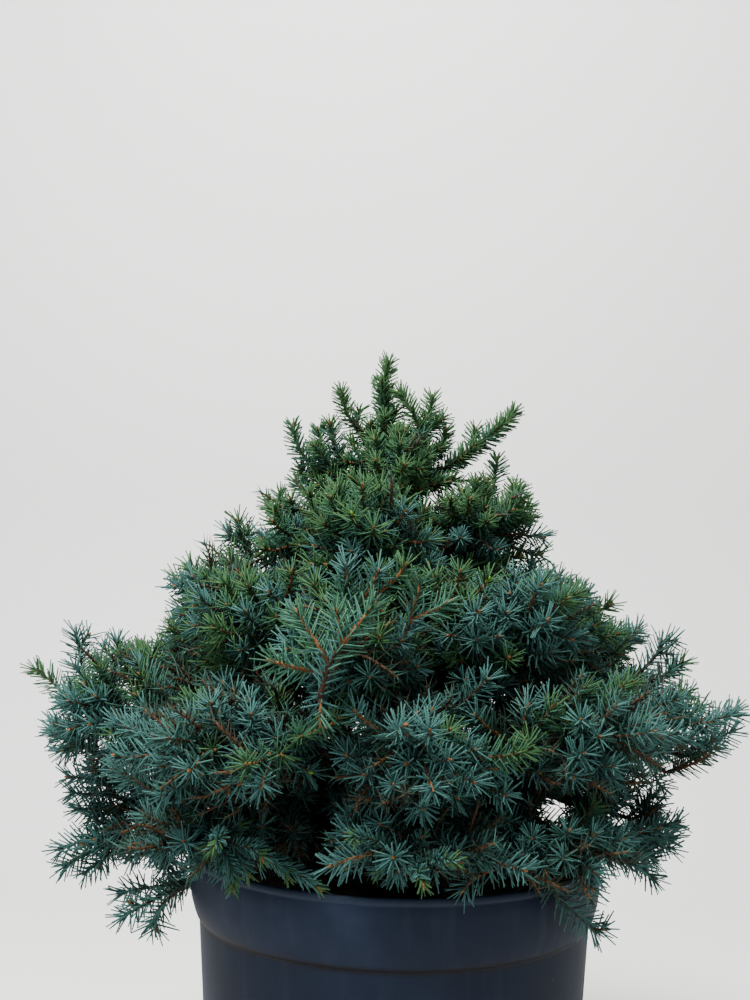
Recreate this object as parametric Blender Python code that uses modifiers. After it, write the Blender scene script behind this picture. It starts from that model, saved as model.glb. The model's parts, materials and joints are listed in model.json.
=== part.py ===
"""Potted dwarf white spruce: a nursery pot with its potting mix, and a broad cone of a conifer that is
carried by one tapering trunk, its boughs, and separate masses of needles.

Metres, +Z up. The origin is the centre of the pot's flat underside. Azimuth 0 is the front (-Y), and it
turns towards +X.
"""
import math

import bmesh
import bpy
from mathutils import Vector, noise

# Pot
POT_HEIGHT = 0.230
RIM_RADIUS = 0.140
COLLAR_HEIGHT = 0.0415
COLLAR_STEP = 0.0022
POT_WALL = 0.0024
FLOOR_THICKNESS = 0.003
FOOT_RADIUS = 0.118
DRAFT = math.radians(4.4)
TURN_STEPS = 32
DRAIN_HOLES = 8
DRAIN_RADIUS = 0.006
DRAIN_CIRCLE = 0.086

# Potting mix
SOIL_DROP = 0.024
SOIL_LEVEL = POT_HEIGHT - SOIL_DROP

# Clear gap between two solids that touch in the real plant
GAP = 0.0003

# Trunk
TRUNK_TOP = 0.553
TRUNK_RADIUS = 0.0130
TRUNK_TIP_RADIUS = 0.0012
TRUNK_LEAN = Vector((-0.010, 0.002, 0.0))
TRUNK_SIDES = 12
TRUNK_RINGS = 12
FLARE_HEIGHT = 0.022
FLARE_SPREAD = 0.55
ROOT_LOBES = 5

# Boughs
BOUGH_SIDES = 6
BOUGH_RINGS = 5

# Foliage: how much a mass swells and dips round its smooth form, and how fast that changes
SWELL = 0.24
SWELL_PITCH = 1.9
# Meridians and rings of a mass, and the bend below which two of its faces are merged
MASS_SEGMENTS = 14
MASS_RINGS = 8
FLATNESS = math.radians(4.0)
# Share of a mass's inner half-length at which its bough meets it on a flat foot
FOOT_SHARE = 0.78

# Base colour and roughness of each kind of piece
PLASTIC = ((0.018, 0.024, 0.034), 0.50)
MIX = ((0.030, 0.022, 0.016), 0.95)
BARK = ((0.085, 0.055, 0.038), 0.85)
NEEDLES = ((0.045, 0.105, 0.080), 0.60)


class Tier:
    """Masses that grow alike: their bough's lowest and highest start on the trunk, and its two radii."""

    def __init__(self, name, rows, start=None, radii=None):
        self.name = name
        self.rows = rows
        self.start = start
        self.radii = radii


# One row for each mass: name, azimuth in degrees, reach of its centre from the trunk line, height of
# its centre, rise of its long axis in degrees, half-lengths (along, across, thick), and the slope in
# degrees at which it hangs over the pot's rim.
TIERS = (
    Tier("skirt", (
        ("left", -92, 0.170, 0.228, -36, (0.058, 0.064, 0.044), 70),
        ("front_left", -42, 0.152, 0.262, -12, (0.056, 0.058, 0.034), 30),
        ("front", 4, 0.140, 0.266, -6, (0.050, 0.056, 0.028), 12),
        ("front_right", 42, 0.146, 0.258, -14, (0.052, 0.054, 0.034), 40),
        ("right", 90, 0.148, 0.250, -22, (0.046, 0.056, 0.034), 48),
        ("back_right", 140, 0.152, 0.250, -16, (0.056, 0.066, 0.040), 38),
        ("back_left", -142, 0.154, 0.250, -18, (0.056, 0.066, 0.040), 38),
    ), start=(0.221, 0.237), radii=(0.0052, 0.0030)),
    Tier("middle", (
        ("left", -80, 0.184, 0.318, 4, (0.062, 0.056, 0.050), 0),
        ("front_left", -36, 0.160, 0.310, 6, (0.056, 0.056, 0.042), 0),
        ("front", 4, 0.152, 0.308, 4, (0.054, 0.050, 0.040), 0),
        ("front_right", 42, 0.152, 0.316, 8, (0.056, 0.052, 0.042), 0),
        ("right", 84, 0.170, 0.314, 10, (0.064, 0.046, 0.034), 0),
        ("back_right", 116, 0.166, 0.346, 20, (0.058, 0.052, 0.042), 0),
        ("back", 172, 0.156, 0.316, 10, (0.056, 0.062, 0.044), 0),
        ("back_left", -116, 0.178, 0.344, 18, (0.060, 0.052, 0.040), 0),
    ), start=(0.258, 0.288), radii=(0.0046, 0.0026)),
    Tier("shoulder", (
        ("left", -86, 0.112, 0.388, 28, (0.054, 0.050, 0.040), 0),
        ("front_left", -48, 0.120, 0.376, 26, (0.054, 0.046, 0.040), 0),
        ("front", -10, 0.140, 0.368, 18, (0.056, 0.050, 0.036), 0),
        ("front_right", 36, 0.116, 0.376, 24, (0.054, 0.050, 0.038), 0),
        ("right", 82, 0.106, 0.374, 22, (0.052, 0.048, 0.036), 0),
        ("back_right", 134, 0.108, 0.380, 28, (0.056, 0.056, 0.042), 0),
        ("back_left", -142, 0.112, 0.384, 30, (0.056, 0.058, 0.042), 0),
    ), start=(0.312, 0.344), radii=(0.0040, 0.0022)),
    Tier("upper", (
        ("left", -84, 0.055, 0.426, 36, (0.070, 0.046, 0.041), 0),
        ("front", -16, 0.058, 0.422, 34, (0.072, 0.050, 0.039), 0),
        ("right", 72, 0.044, 0.438, 42, (0.066, 0.046, 0.042), 0),
        ("back_right", 138, 0.050, 0.430, 38, (0.066, 0.048, 0.038), 0),
        ("back_left", -150, 0.052, 0.430, 38, (0.068, 0.050, 0.038), 0),
    )),
    Tier("top", (
        ("leader", -90, 0.0105, 0.541, 88, (0.034, 0.015, 0.015), 0),
        ("left", -92, 0.031, 0.522, 66, (0.035, 0.015, 0.015), 0),
        ("left_arm", -82, 0.051, 0.491, 55, (0.041, 0.023, 0.019), 0),
        ("right", 92, 0.011, 0.512, 76, (0.037, 0.020, 0.019), 0),
        ("right_arm", 88, 0.050, 0.503, 41, (0.048, 0.015, 0.014), 0),
        ("front", -10, 0.027, 0.484, 62, (0.038, 0.030, 0.030), 0),
        ("back", 176, 0.026, 0.490, 62, (0.038, 0.030, 0.028), 0),
    )),
)


def outward(azimuth, rise=0.0):
    """Unit vector that points away from the trunk line, rise degrees above level."""
    a, e = math.radians(azimuth), math.radians(rise)
    return Vector((math.sin(a) * math.cos(e), -math.cos(a) * math.cos(e), math.sin(e)))


def clear_scene():
    for obj in list(bpy.data.objects):
        bpy.data.objects.remove(obj, do_unlink=True)


def new_collection(name):
    collection = bpy.data.collections.new(name)
    bpy.context.scene.collection.children.link(collection)
    return collection


def new_material(name, look):
    colour, roughness = look
    material = bpy.data.materials.new(name)
    material.use_nodes = True
    shader = material.node_tree.nodes["Principled BSDF"]
    shader.inputs["Base Color"].default_value = (*colour, 1.0)
    shader.inputs["Roughness"].default_value = roughness
    shader.inputs["Metallic"].default_value = 0.0
    return material


def add_object(name, data, collection, look=None):
    obj = bpy.data.objects.new(name, data)
    collection.objects.link(obj)
    if look:
        obj.data.materials.append(new_material(name, look))
    return obj


def add_cutter(name, mesh, collection):
    """A helper solid that only cuts others, so the object leaves it out."""
    cutter = add_object(name, mesh, collection)
    cutter.hide_render = True
    cutter.display_type = "WIRE"
    return cutter


def cut(obj, cutter):
    """Takes the cutter's volume out of the object."""
    modifier = obj.modifiers.new("cut_" + cutter.name, "BOOLEAN")
    modifier.operation = "DIFFERENCE"
    modifier.object = cutter


def turned(name, profile, collection, look, ring=False):
    """A solid of revolution from (radius, height) points that run down its outer side."""
    mesh = bpy.data.meshes.new(name)
    edges = [(i, i + 1) for i in range(len(profile) - 1)]
    if ring:
        edges.append((len(profile) - 1, 0))
    mesh.from_pydata([(r, 0.0, z) for r, z in profile], edges, [])
    obj = add_object(name, mesh, collection, look)
    screw = obj.modifiers.new("turn", "SCREW")
    screw.steps = screw.render_steps = TURN_STEPS
    screw.use_merge_vertices = True
    screw.merge_threshold = 0.00001
    return obj


def body_radius(height):
    """Outer radius of the pot's tapering body, below the collar."""
    return FOOT_RADIUS + height * math.tan(DRAFT)


def collar_profile():
    """(radius, height) points of the collar's outer side, from the rim down to its lower edge."""
    low = body_radius(POT_HEIGHT - COLLAR_HEIGHT) + COLLAR_STEP
    shares = ((0.00, 1.00), (0.30, 1.00), (0.62, 0.93), (0.84, 0.62), (1.00, 0.0))
    return [
        (low + (RIM_RADIUS - low) * out, POT_HEIGHT - COLLAR_HEIGHT * down)
        for down, out in shares
    ]


def pot_profile():
    """The pot's closed section: collar, body, underside, floor, inner wall."""
    collar_foot = POT_HEIGHT - COLLAR_HEIGHT
    edge = 0.004
    outer = collar_profile()
    outer += [(body_radius(collar_foot), collar_foot), (body_radius(edge), edge)]
    outer += [(FOOT_RADIUS - edge * 0.6, 0.0), (0.0, 0.0)]
    return outer + [(0.0, FLOOR_THICKNESS)] + inner_wall(0.0)


def inner_wall(clearance, top=POT_HEIGHT):
    """(radius, height) points of the pot's inside, or of what fills it with that clearance."""
    floor = FLOOR_THICKNESS + clearance
    inset = POT_WALL + clearance
    points = [(body_radius(floor) - inset - 0.002, floor), (body_radius(floor + 0.006) - inset, floor + 0.006)]
    shoulder = POT_HEIGHT - COLLAR_HEIGHT
    points.append((body_radius(shoulder) - inset, shoulder))
    for radius, height in reversed(collar_profile()[:-1]):
        if height < top:
            points.append((radius - inset, height))
    return points + [(points[-1][0] if top < POT_HEIGHT else RIM_RADIUS - inset, top)]


def drain_cutter(collection):
    """One cutter for the ring of drainage holes in the pot's floor."""
    shape = bmesh.new()
    for i in range(DRAIN_HOLES):
        turn = math.tau * (i + 0.5) / DRAIN_HOLES
        made = bmesh.ops.create_cone(
            shape, cap_ends=True, segments=8, radius1=DRAIN_RADIUS, radius2=DRAIN_RADIUS, depth=0.02
        )
        centre = Vector((math.cos(turn), math.sin(turn), 0.0)) * DRAIN_CIRCLE
        bmesh.ops.translate(shape, verts=made["verts"], vec=centre)
    mesh = bpy.data.meshes.new("drain_cutter")
    shape.to_mesh(mesh)
    shape.free()
    return add_cutter("drain_cutter", mesh, collection)


def make_pot(parts, helpers):
    pot = turned("pot", pot_profile(), parts, PLASTIC, ring=True)
    cut(pot, drain_cutter(helpers))


def make_soil(parts):
    """The potting mix that fills the pot to a little below its rim."""
    wall = inner_wall(GAP, top=SOIL_LEVEL)
    profile = [(0.0, SOIL_LEVEL)] + wall[::-1] + [(0.0, wall[0][1])]
    turned("potting_mix", profile, parts, MIX)


def limb_mesh(name, path, radii, sides):
    """A closed tapering limb along the path, made as a bevelled curve and turned into a mesh."""
    curve = bpy.data.curves.new(name, "CURVE")
    curve.dimensions = "3D"
    curve.bevel_depth = 1.0
    curve.bevel_resolution = sides // 2 - 2
    curve.use_fill_caps = True
    spline = curve.splines.new("POLY")
    spline.points.add(len(path) - 1)
    for point, place, radius in zip(spline.points, path, radii):
        point.co = (*place, 1.0)
        point.radius = radius
    guide = bpy.data.objects.new(name, curve)
    bpy.context.scene.collection.objects.link(guide)
    bpy.context.view_layer.update()
    evaluated = guide.evaluated_get(bpy.context.evaluated_depsgraph_get())
    mesh = bpy.data.meshes.new_from_object(evaluated)
    bpy.data.objects.remove(guide, do_unlink=True)
    bpy.data.curves.remove(curve)
    shape = bmesh.new()
    shape.from_mesh(mesh)
    bmesh.ops.remove_doubles(shape, verts=shape.verts, dist=0.00001)
    bmesh.ops.recalc_face_normals(shape, faces=shape.faces)
    shape.to_mesh(mesh)
    shape.free()
    return mesh


def trunk_point(height):
    """The trunk's centre line: it leans a little and sways once on the way up."""
    share = (height - SOIL_LEVEL) / (TRUNK_TOP - SOIL_LEVEL)
    sway = Vector((0.003, -0.004, 0.0)) * math.sin(math.tau * share)
    return TRUNK_LEAN * share + sway + Vector((0.0, 0.0, height))


def trunk_radius(height):
    share = (height - SOIL_LEVEL) / (TRUNK_TOP - SOIL_LEVEL)
    return TRUNK_TIP_RADIUS + (TRUNK_RADIUS - TRUNK_TIP_RADIUS) * (1.0 - share) ** 1.15


def flare_roots(mesh, foot):
    """Spreads the trunk's lowest rings into a root flare with soft lobes."""
    for vertex in mesh.vertices:
        low = 1.0 - (vertex.co.z - foot) / FLARE_HEIGHT
        if low <= 0.0:
            continue
        turn = math.atan2(vertex.co.y, vertex.co.x)
        lobes = 1.0 + 0.28 * math.cos(ROOT_LOBES * turn)
        spread = 1.0 + FLARE_SPREAD * min(low, 1.0) ** 2 * lobes
        centre = trunk_point(max(vertex.co.z, SOIL_LEVEL))
        vertex.co.x = centre.x + (vertex.co.x - centre.x) * spread
        vertex.co.y = centre.y + (vertex.co.y - centre.y) * spread


def trunk_mesh(name, foot, grow=0.0):
    """The trunk's solid from that foot to its tip, or its clearance solid, grown all round."""
    heights = [foot, foot + FLARE_HEIGHT * 0.45, foot + FLARE_HEIGHT]
    steps = TRUNK_RINGS - len(heights)
    start = heights[-1]
    top = TRUNK_TOP + grow
    heights += [start + (top - start) * (i + 1) / steps for i in range(steps)]
    path = [trunk_point(h) for h in heights]
    radii = [trunk_radius(min(h, TRUNK_TOP)) + grow for h in heights]
    mesh = limb_mesh(name, path, radii, TRUNK_SIDES)
    for vertex in mesh.vertices:
        if vertex.co.z < foot + FLARE_HEIGHT * 0.1:
            vertex.co.z = foot
    flare_roots(mesh, foot)
    return mesh


class Mass:
    """One mass of needles: an uneven ellipsoid, trimmed by planes so that it clears its neighbours."""

    def __init__(self, tier, row, number):
        name, azimuth, reach, height, rise, half, overhang = row
        self.tier = tier
        self.name = f"foliage_{tier.name}_{name}"
        self.bough = f"bough_{tier.name}_{name}"
        self.azimuth = azimuth
        self.overhang = overhang
        self.centre = outward(azimuth) * reach + Vector((0.0, 0.0, height))
        self.half = half
        self.along = outward(azimuth, rise)
        self.across = outward(azimuth + 90.0)
        self.thick = self.along.cross(self.across)
        self.shift = Vector((3.7, 1.3, 2.1)) * (number + 1)
        self.planes = []

    def extent(self, way):
        """Distance from the centre to the smooth ellipsoid in that direction."""
        parts = (way.dot(self.along), way.dot(self.across), way.dot(self.thick))
        return 1.0 / math.sqrt(sum((p / h) ** 2 for p, h in zip(parts, self.half)))

    def uneven(self, way):
        """Distance from the centre to the uneven surface, before any plane trims it."""
        return self.extent(way) * (1.0 + SWELL * noise.noise(way * SWELL_PITCH + self.shift))

    def reach_in(self, way):
        """Distance from the centre to the uneven surface, inside every trimming plane."""
        distance = self.uneven(way)
        for normal, offset in self.planes:
            slope = normal.dot(way)
            if slope > 1e-6:
                distance = min(distance, (offset - normal.dot(self.centre)) / slope)
        return distance

    def trim(self, normal, point, gap):
        """Keeps the side of the plane that the normal points away from, gap short of it."""
        self.planes.append((normal, normal.dot(point) - gap))

    def foot(self):
        """Where the bough meets the mass."""
        return self.centre - self.along * self.uneven(-self.along) * FOOT_SHARE

    def mesh(self):
        shape = bmesh.new()
        bmesh.ops.create_uvsphere(
            shape, u_segments=MASS_SEGMENTS, v_segments=MASS_RINGS, radius=1.0
        )
        for vertex in shape.verts:
            x, y, z = vertex.co
            way = (self.across * x + self.thick * y + self.along * z).normalized()
            vertex.co = self.centre + way * self.reach_in(way)
        bmesh.ops.dissolve_limit(
            shape, angle_limit=FLATNESS, verts=shape.verts[:], edges=shape.edges[:]
        )
        bmesh.ops.triangulate(shape, faces=shape.faces[:])
        mesh = bpy.data.meshes.new(self.name)
        shape.to_mesh(mesh)
        shape.free()
        return mesh


def all_masses():
    masses = []
    for tier in TIERS:
        for row in tier.rows:
            masses.append(Mass(tier, row, len(masses)))
    return masses


def separate(masses):
    """Trims each pair of masses at one plane between them."""
    for i, first in enumerate(masses):
        for second in masses[i + 1:]:
            way = (second.centre - first.centre).normalized()
            a, b = first.extent(way), second.extent(-way)
            point = first.centre.lerp(second.centre, a / (a + b))
            first.trim(way, point, GAP)
            second.trim(-way, point, GAP)


def trim_to_rim(mass):
    """Keeps a mass that hangs over the pot above a plane through the nearest point of the rim."""
    level = outward(mass.azimuth)
    slope = math.radians(mass.overhang)
    normal = -(level * math.sin(slope) + Vector((0.0, 0.0, math.cos(slope))))
    rim = level * RIM_RADIUS + Vector((0.0, 0.0, POT_HEIGHT))
    mass.trim(normal, rim, 2.0 * GAP)


def trim_at_trunk(mass):
    """Keeps a mass that lies against the trunk on its own side of the trunk's centre line."""
    nearest = trunk_point(min(mass.centre.z, TRUNK_TOP))
    way = nearest - mass.centre
    way.z = 0.0
    mass.trim(way.normalized(), nearest, GAP)


def bough_path(mass, start_height):
    """An arc that leaves the trunk upwards and comes into the mass along its long axis."""
    start = trunk_point(start_height)
    end = mass.foot() - mass.along * GAP
    bend = end - mass.along * (end - start).length * 0.48
    path = []
    for i in range(BOUGH_RINGS):
        t = i / (BOUGH_RINGS - 1)
        path.append(start * (1 - t) ** 2 + bend * 2 * t * (1 - t) + end * t * t)
    return path


def square_end(mesh, end, way, sides):
    """Puts the limb's last ring exactly on the plane through its end, square to the way it points."""
    nearest = sorted(mesh.vertices, key=lambda v: (v.co - end).length)[:sides]
    for vertex in nearest:
        vertex.co -= way * (vertex.co - end).dot(way)


def make_bough(mass, number, parts, clearance):
    low, high = mass.tier.start
    start_height = low + (high - low) * (number % 3) / 2
    path = bough_path(mass, start_height)
    thick, thin = mass.tier.radii
    radii = [thick + (thin - thick) * i / (BOUGH_RINGS - 1) for i in range(BOUGH_RINGS)]
    mesh = limb_mesh(mass.bough, path, radii, BOUGH_SIDES)
    square_end(mesh, path[-1], mass.along, BOUGH_SIDES)
    bough = add_object(mass.bough, mesh, parts, BARK)
    cut(bough, clearance)


def main():
    clear_scene()
    parts = new_collection("potted_dwarf_white_spruce")
    helpers = new_collection("cutters")

    make_pot(parts, helpers)
    make_soil(parts)

    foot = SOIL_LEVEL + GAP
    add_object("trunk", trunk_mesh("trunk", foot), parts, BARK)
    clearance = add_cutter("trunk_clearance", trunk_mesh("trunk_clearance", foot, GAP), helpers)

    masses = all_masses()
    separate(masses)
    for mass in masses:
        if mass.overhang:
            trim_to_rim(mass)
        if mass.tier.start:
            mass.trim(-mass.along, mass.foot(), 0.0)
        elif mass.name != "foliage_top_leader":
            trim_at_trunk(mass)
    for number, mass in enumerate(masses):
        foliage = add_object(mass.name, mass.mesh(), parts, NEEDLES)
        if mass.tier.start:
            make_bough(mass, number, parts, clearance)
        else:
            cut(foliage, clearance)


main()
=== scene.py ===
"""Looks of the potted dwarf white spruce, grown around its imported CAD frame.

The CAD masses are the crown's envelope. Inside each one a limb grows on from its bough, sprays of shoots
branch off it until they cover the envelope, and every shoot carries needles all round. Metres, +Z up, and
-Y faces the camera.
"""
import json
import math
import random
import bpy
import numpy as np
from mathutils import Matrix, Vector, noise
from mathutils.bvhtree import BVHTree

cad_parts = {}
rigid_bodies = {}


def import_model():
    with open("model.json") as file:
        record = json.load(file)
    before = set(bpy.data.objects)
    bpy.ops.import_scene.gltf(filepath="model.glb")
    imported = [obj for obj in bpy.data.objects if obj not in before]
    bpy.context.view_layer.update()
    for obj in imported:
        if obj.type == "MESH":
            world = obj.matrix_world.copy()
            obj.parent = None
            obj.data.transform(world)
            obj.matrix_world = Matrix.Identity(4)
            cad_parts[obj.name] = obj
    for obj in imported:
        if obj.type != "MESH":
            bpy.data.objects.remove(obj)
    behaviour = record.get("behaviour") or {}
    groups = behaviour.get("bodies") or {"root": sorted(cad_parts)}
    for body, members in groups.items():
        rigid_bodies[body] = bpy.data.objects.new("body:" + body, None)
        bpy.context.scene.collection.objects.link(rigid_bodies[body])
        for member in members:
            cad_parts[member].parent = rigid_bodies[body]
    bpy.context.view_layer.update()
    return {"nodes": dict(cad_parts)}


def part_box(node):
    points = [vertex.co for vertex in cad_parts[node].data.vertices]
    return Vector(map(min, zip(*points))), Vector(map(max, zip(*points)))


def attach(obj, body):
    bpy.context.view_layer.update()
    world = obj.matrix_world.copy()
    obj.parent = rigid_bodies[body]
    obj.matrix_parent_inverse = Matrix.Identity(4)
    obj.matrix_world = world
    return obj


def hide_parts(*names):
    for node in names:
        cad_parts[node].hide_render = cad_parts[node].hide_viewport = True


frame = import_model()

SEED = 11
UP = Vector((0.0, 0.0, 1.0))
NODES = frame["nodes"]
FOLIAGE = sorted(name for name in NODES if name.startswith("foliage_"))
BOUGHS = sorted(name for name in NODES if name.startswith("bough_"))

# Camera: place, level turn, tilt up and roll, and its focal length in pixels of the 750 x 1000 picture
EYE = Vector((-0.005, -0.75, 0.395))
TURN, TILT, ROLL = (math.radians(a) for a in (1.0, 5.65, 1.1))
FOCAL_PIXELS = 1050.0
PICTURE = (750, 1000)
SENSOR = 36.0

# This year's shoots: their length, and the share of it that they have above the top's height
SHOOT_LENGTH = (0.032, 0.046)
TOP_HEIGHT = 0.44
TOP_SCALE = 0.80
SHORTEST_FACING = 0.028
# The shoots of a leading one's whorl, and the smaller ones along its stem: degrees off it, and their share of
# its length
FORK_ANGLES = (40.0, 56.0)
FORK_SHARES = (0.62, 0.92)
SIDE_ANGLES = (50.0, 65.0)
SIDE_SHARES = (0.42, 0.72)
# How far the whorl's first shoot and each single one stray round the stem, and where the first of the smaller
# ones stands and how far round the next, in radians
WHORL_TURN = 0.5
WHORL_STRAY = 0.3
SIDE_TURN = 1.2
SIDE_STEP = 2.4
# How far a side shoot bends along its stem and upwards. One that finds no room is tried again at these shares
# of its length, down to the shortest
SIDE_BEND = 0.25
SIDE_LIFT = 0.18
SHORTER_TRIES = (1.0, 0.75, 0.55)
SHORTEST_SIDE = 0.011
# The last year's stem under each leading shoot
STEM_LENGTH = 0.038
# Room between the tips of sprays, at two heights, and between any two twigs
SPRAY_SPACING = 0.028
TOP_SPACING = 0.0185
SPACING_HEIGHTS = (0.32, 0.43)
CROWD = 0.0120
# How far a shoot may end outside its mass, how far under its surface all end, and how much further in some
# do at two heights
OVERHANG = 0.003
INSET = 0.003
RELIEF = 0.013
TOP_RELIEF = 0.005
RELIEF_HEIGHTS = (0.34, 0.42)
# How steeply new shoots rise at several heights, as height and rise over run, and what else makes their way:
# outwards from the trunk, off the mass's surface, on from the foot of its limb, and chance
SHOOT_RISE = ((0.21, -0.10), (0.26, 0.25), (0.32, 0.55), (0.40, 0.85), (0.48, 1.30), (0.58, 1.80))
OUTWARDS = 0.7
OFF_SURFACE = 0.50
ONWARDS = 0.1
WAY_STRAY = 0.32
# A place on a mass bears sprays if no other mass covers what lies this far outside it, and if its normal's
# cosine to the way out from the trunk is above the second number
PROBE = 0.008
LEAST_OUTWARD = -0.15

# The share of a bough that bears no twigs, how far its limb goes on from the mass's centre, and the least
# cosine between a spray's direction and the way to it from where it leaves the limb
BARE_SHARE = 0.35
LIMB_SHARE = 0.30
LEAST_LEAD = 0.25
# A spray leaves its limb at least this many shoot lengths from its tip and at the least cost, which is the
# distance and these shares of it for a turn off the limb and for a way that doesn't lead to the tip
ATTACH_LENGTHS = 1.15
TURN_COST = 0.7
LEAD_COST = 0.9
# Room between the points of a twig, how far a curve keeps the directions of its two ends, a twig's least
# radius, and the power at which branches add up to their limb
STEP = 0.006
CURVE_PULL = 0.6
TWIG_RADIUS = 0.00088
PIPE_POWER = 2.7
# The last point's share of a twig's radius, and how many least radii make a twig part of the older wood
TWIG_END = 0.8
OLDER_GIRTH = 1.12

# Tries for a spray on a square metre of the masses, and the room round a limb's own leading shoot as a share
# of the sprays' room
SURFACE_TRIES = 30_000
LEADER_ROOM = 0.6
# Single shoots that close what the sprays leave bare: how far off the next twig, how long, how deep in the
# relief, and in how many rounds, each of which takes one in so many of the open places
FILL_REACH = 0.013
FILL_LENGTH = 0.024
FILL_DEPTH = 0.8
FILL_ROUNDS = 2
FILL_SKIP = 3

# Bridging sprays between neighbouring masses: tries, how wide a cleft they close, how high and how far out
# they are tried, how far off the masses, and the room between them as a share of the sprays' room
BRIDGE_TRIES = 16_000
CLEFT = 0.085
BRIDGE_HEIGHTS = (0.25, 0.50)
BRIDGE_REACH = (0.03, 0.23)
BRIDGE_GAP = (0.002, 0.03)
BRIDGE_ROOM = 0.85

# Shaded shoots in the depth of the crown: tries, the free room and the length of each, where they grow, how
# steeply they rise, how far chance turns them, how far past the place they end, and how many are green
INNER_TRIES = 60_000
INNER_ROOM = 0.0120
INNER_LENGTH = 0.026
INNER_HEIGHTS = (0.236, 0.545)
INNER_RADIUS = 0.215
CORE_RADIUS = 0.018
INNER_RISE = (-0.2, 0.7)
INNER_STRAY = 0.7
INNER_REACH = 0.008
INNER_GREEN = 0.5

# Places at the outline and within it where the photograph shows the wall: pixels of the centre, and radius.
# Only the limbs and shoots that are named one by one further down may cross them
OPEN_PATCHES = (
    (406, 376, 5), (366, 402, 4), (311, 432, 4), (457, 432, 5), (482, 462, 6), (512, 452, 9), (530, 462, 8),
    (546, 488, 14), (551, 506, 11), (562, 516, 9), (532, 545, 3), (567, 546, 7), (604, 581, 15),
    (633, 605, 14), (503, 486, 4), (466, 407, 14), (350, 404, 4), (395, 397, 2), (364, 382, 5),
    (650, 622, 7), (636, 661, 7), (716, 690, 9), (704, 660, 11), (712, 682, 12), (698, 692, 6),
    (738, 745, 8), (735, 776, 12), (678, 806, 5), (700, 800, 14), (557, 808, 9), (617, 821, 7),
    (606, 902, 6), (622, 888, 10), (612, 880, 9), (634, 909, 12), (690, 860, 11), (290, 478, 5),
    (250, 506, 8), (190, 551, 6), (180, 544, 7), (161, 564, 6), (158, 585, 9), (160, 612, 6),
    (146, 626, 13), (76, 762, 4), (60, 654, 6), (28, 706, 8), (27, 732, 7), (43, 706, 4), (36, 770, 11),
    (50, 761, 5), (42, 808, 13), (58, 824, 5), (40, 722, 3), (20, 724, 7), (188, 908, 6), (164, 600, 4),
    (147, 867, 6), (118, 872, 11), (183, 859, 5), (92, 904, 15), (66, 884, 14),
    (340, 907, 12), (370, 909, 12), (400, 911, 12), (430, 911, 12), (455, 909, 10),
)
# How far needles reach past their twig in the picture
NEEDLE_PIXELS = 9.0

# How far in front of the mass a named shoot's tip stands, by its age
FACING_GAP = {"new": 0.003, "finger": 0.013}
# A drawn limb this far in front of the trunk's axis has the space kept clear at these depths behind it and
# before it, at these shares of the way between any two of its points. One that is further in front has the
# near shoots' colours
FRONT_LIMB = 0.1
CLEAR_DEPTHS = (-0.022, -0.012, 0.010, 0.020)
CLEAR_SHARES = (0.0, 0.35, 0.7)
NEAR_LIMB = 0.15
# A named shoot whose cosine to the way to the camera is above the first number is lit, and a twig that ends
# this close to a lit shoot's tip has the lit twigs' bark and girth
LIT_TURN = 0.25
LIT_REACH = 0.003
LIT_GIRTH = 1.3

# Needles: those of shoots above the top's height are shorter and denser
NEEDLE_LENGTH = 0.0123
NEEDLE_RADIUS = 0.00066
TOP_NEEDLES = 0.77
TOP_DENSITY = 1.6
GOLDEN_ANGLE = math.radians(137.5)
# By the age of the shoot: needles on a metre of it, their share of the full length, and the degrees at
# which they stand off it at its foot and at its end
NEEDLES_PER_METRE = {"new": 1600.0, "last": 1150.0, "old": 900.0, "inner": 850.0, "finger": 2600.0}
NEEDLE_SHARES = {"new": 1.0, "last": 0.88, "old": 0.88, "inner": 0.88, "finger": 0.62}
NEEDLE_ANGLES = {
    "new": (69.0, 54.0),
    "last": (66.0, 52.0),
    "old": (72.0, 60.0),
    "inner": (66.0, 46.0),
    "finger": (46.0, 31.0),
}
# The power at which that angle changes along the shoot, and how much needles rise on a level shoot
ANGLE_POWER = 1.6
NEEDLE_RISE = 0.10
# On new shoots the needles start at this share, crowd towards the end by this power, and close to a tuft over
# the last part: from which share, over how much of the shoot, and by which shares of their angle
FIRST_NEEDLE = 0.05
CROWDING = 1.3
TUFT_START = 0.80
TUFT_SPAN = 0.16
TUFT_CLOSING = (-0.15, 0.55)
# The shortest needles' share, how much longer the others are along a half wave, and the shares between which
# that wave is read
SHORT_NEEDLES = 0.80
LONGER_NEEDLES = 0.28
WAVE_ENDS = (0.05, 0.85)
# Spread by chance: of a needle's place in needle gaps, of its turn round the shoot in radians, of its angle
# in degrees, of its length and width as a share, and of the place at which its tone is read
PLACE_SPREAD = 0.3
TURN_SPREAD = 0.25
ANGLE_SPREAD = 6.0
SIZE_SPREAD = 0.08
TONE_SPREAD = 0.16
# Up to the first share a shoot has the tone of its foot, and from the second on that of its tuft
TONE_SHARES = (0.32, 0.80)
# How far a needle's end leans on along the shoot and up, and a blunt end's share of the needle's radius
NEEDLE_LEAN = 0.10
NEEDLE_LIFT = 0.03
BLUNT_END = 0.62
# The ages whose needles are blunt and whose shoots end in a bud
YOUNG = ("new", "finger")
MOST_TRIANGLES = 180_000
# A bud's radius, and how many of them are fresh
BUD_RADIUS = (0.0011, 0.0016)
FRESH_SHARE = 0.045

# Bark relief and the share of a limb's radius it may take, and the height of the pot's collar
BARK_RELIEF = 0.0008
RELIEF_SHARE = 0.25
COLLAR = 0.0415


# Camera


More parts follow.
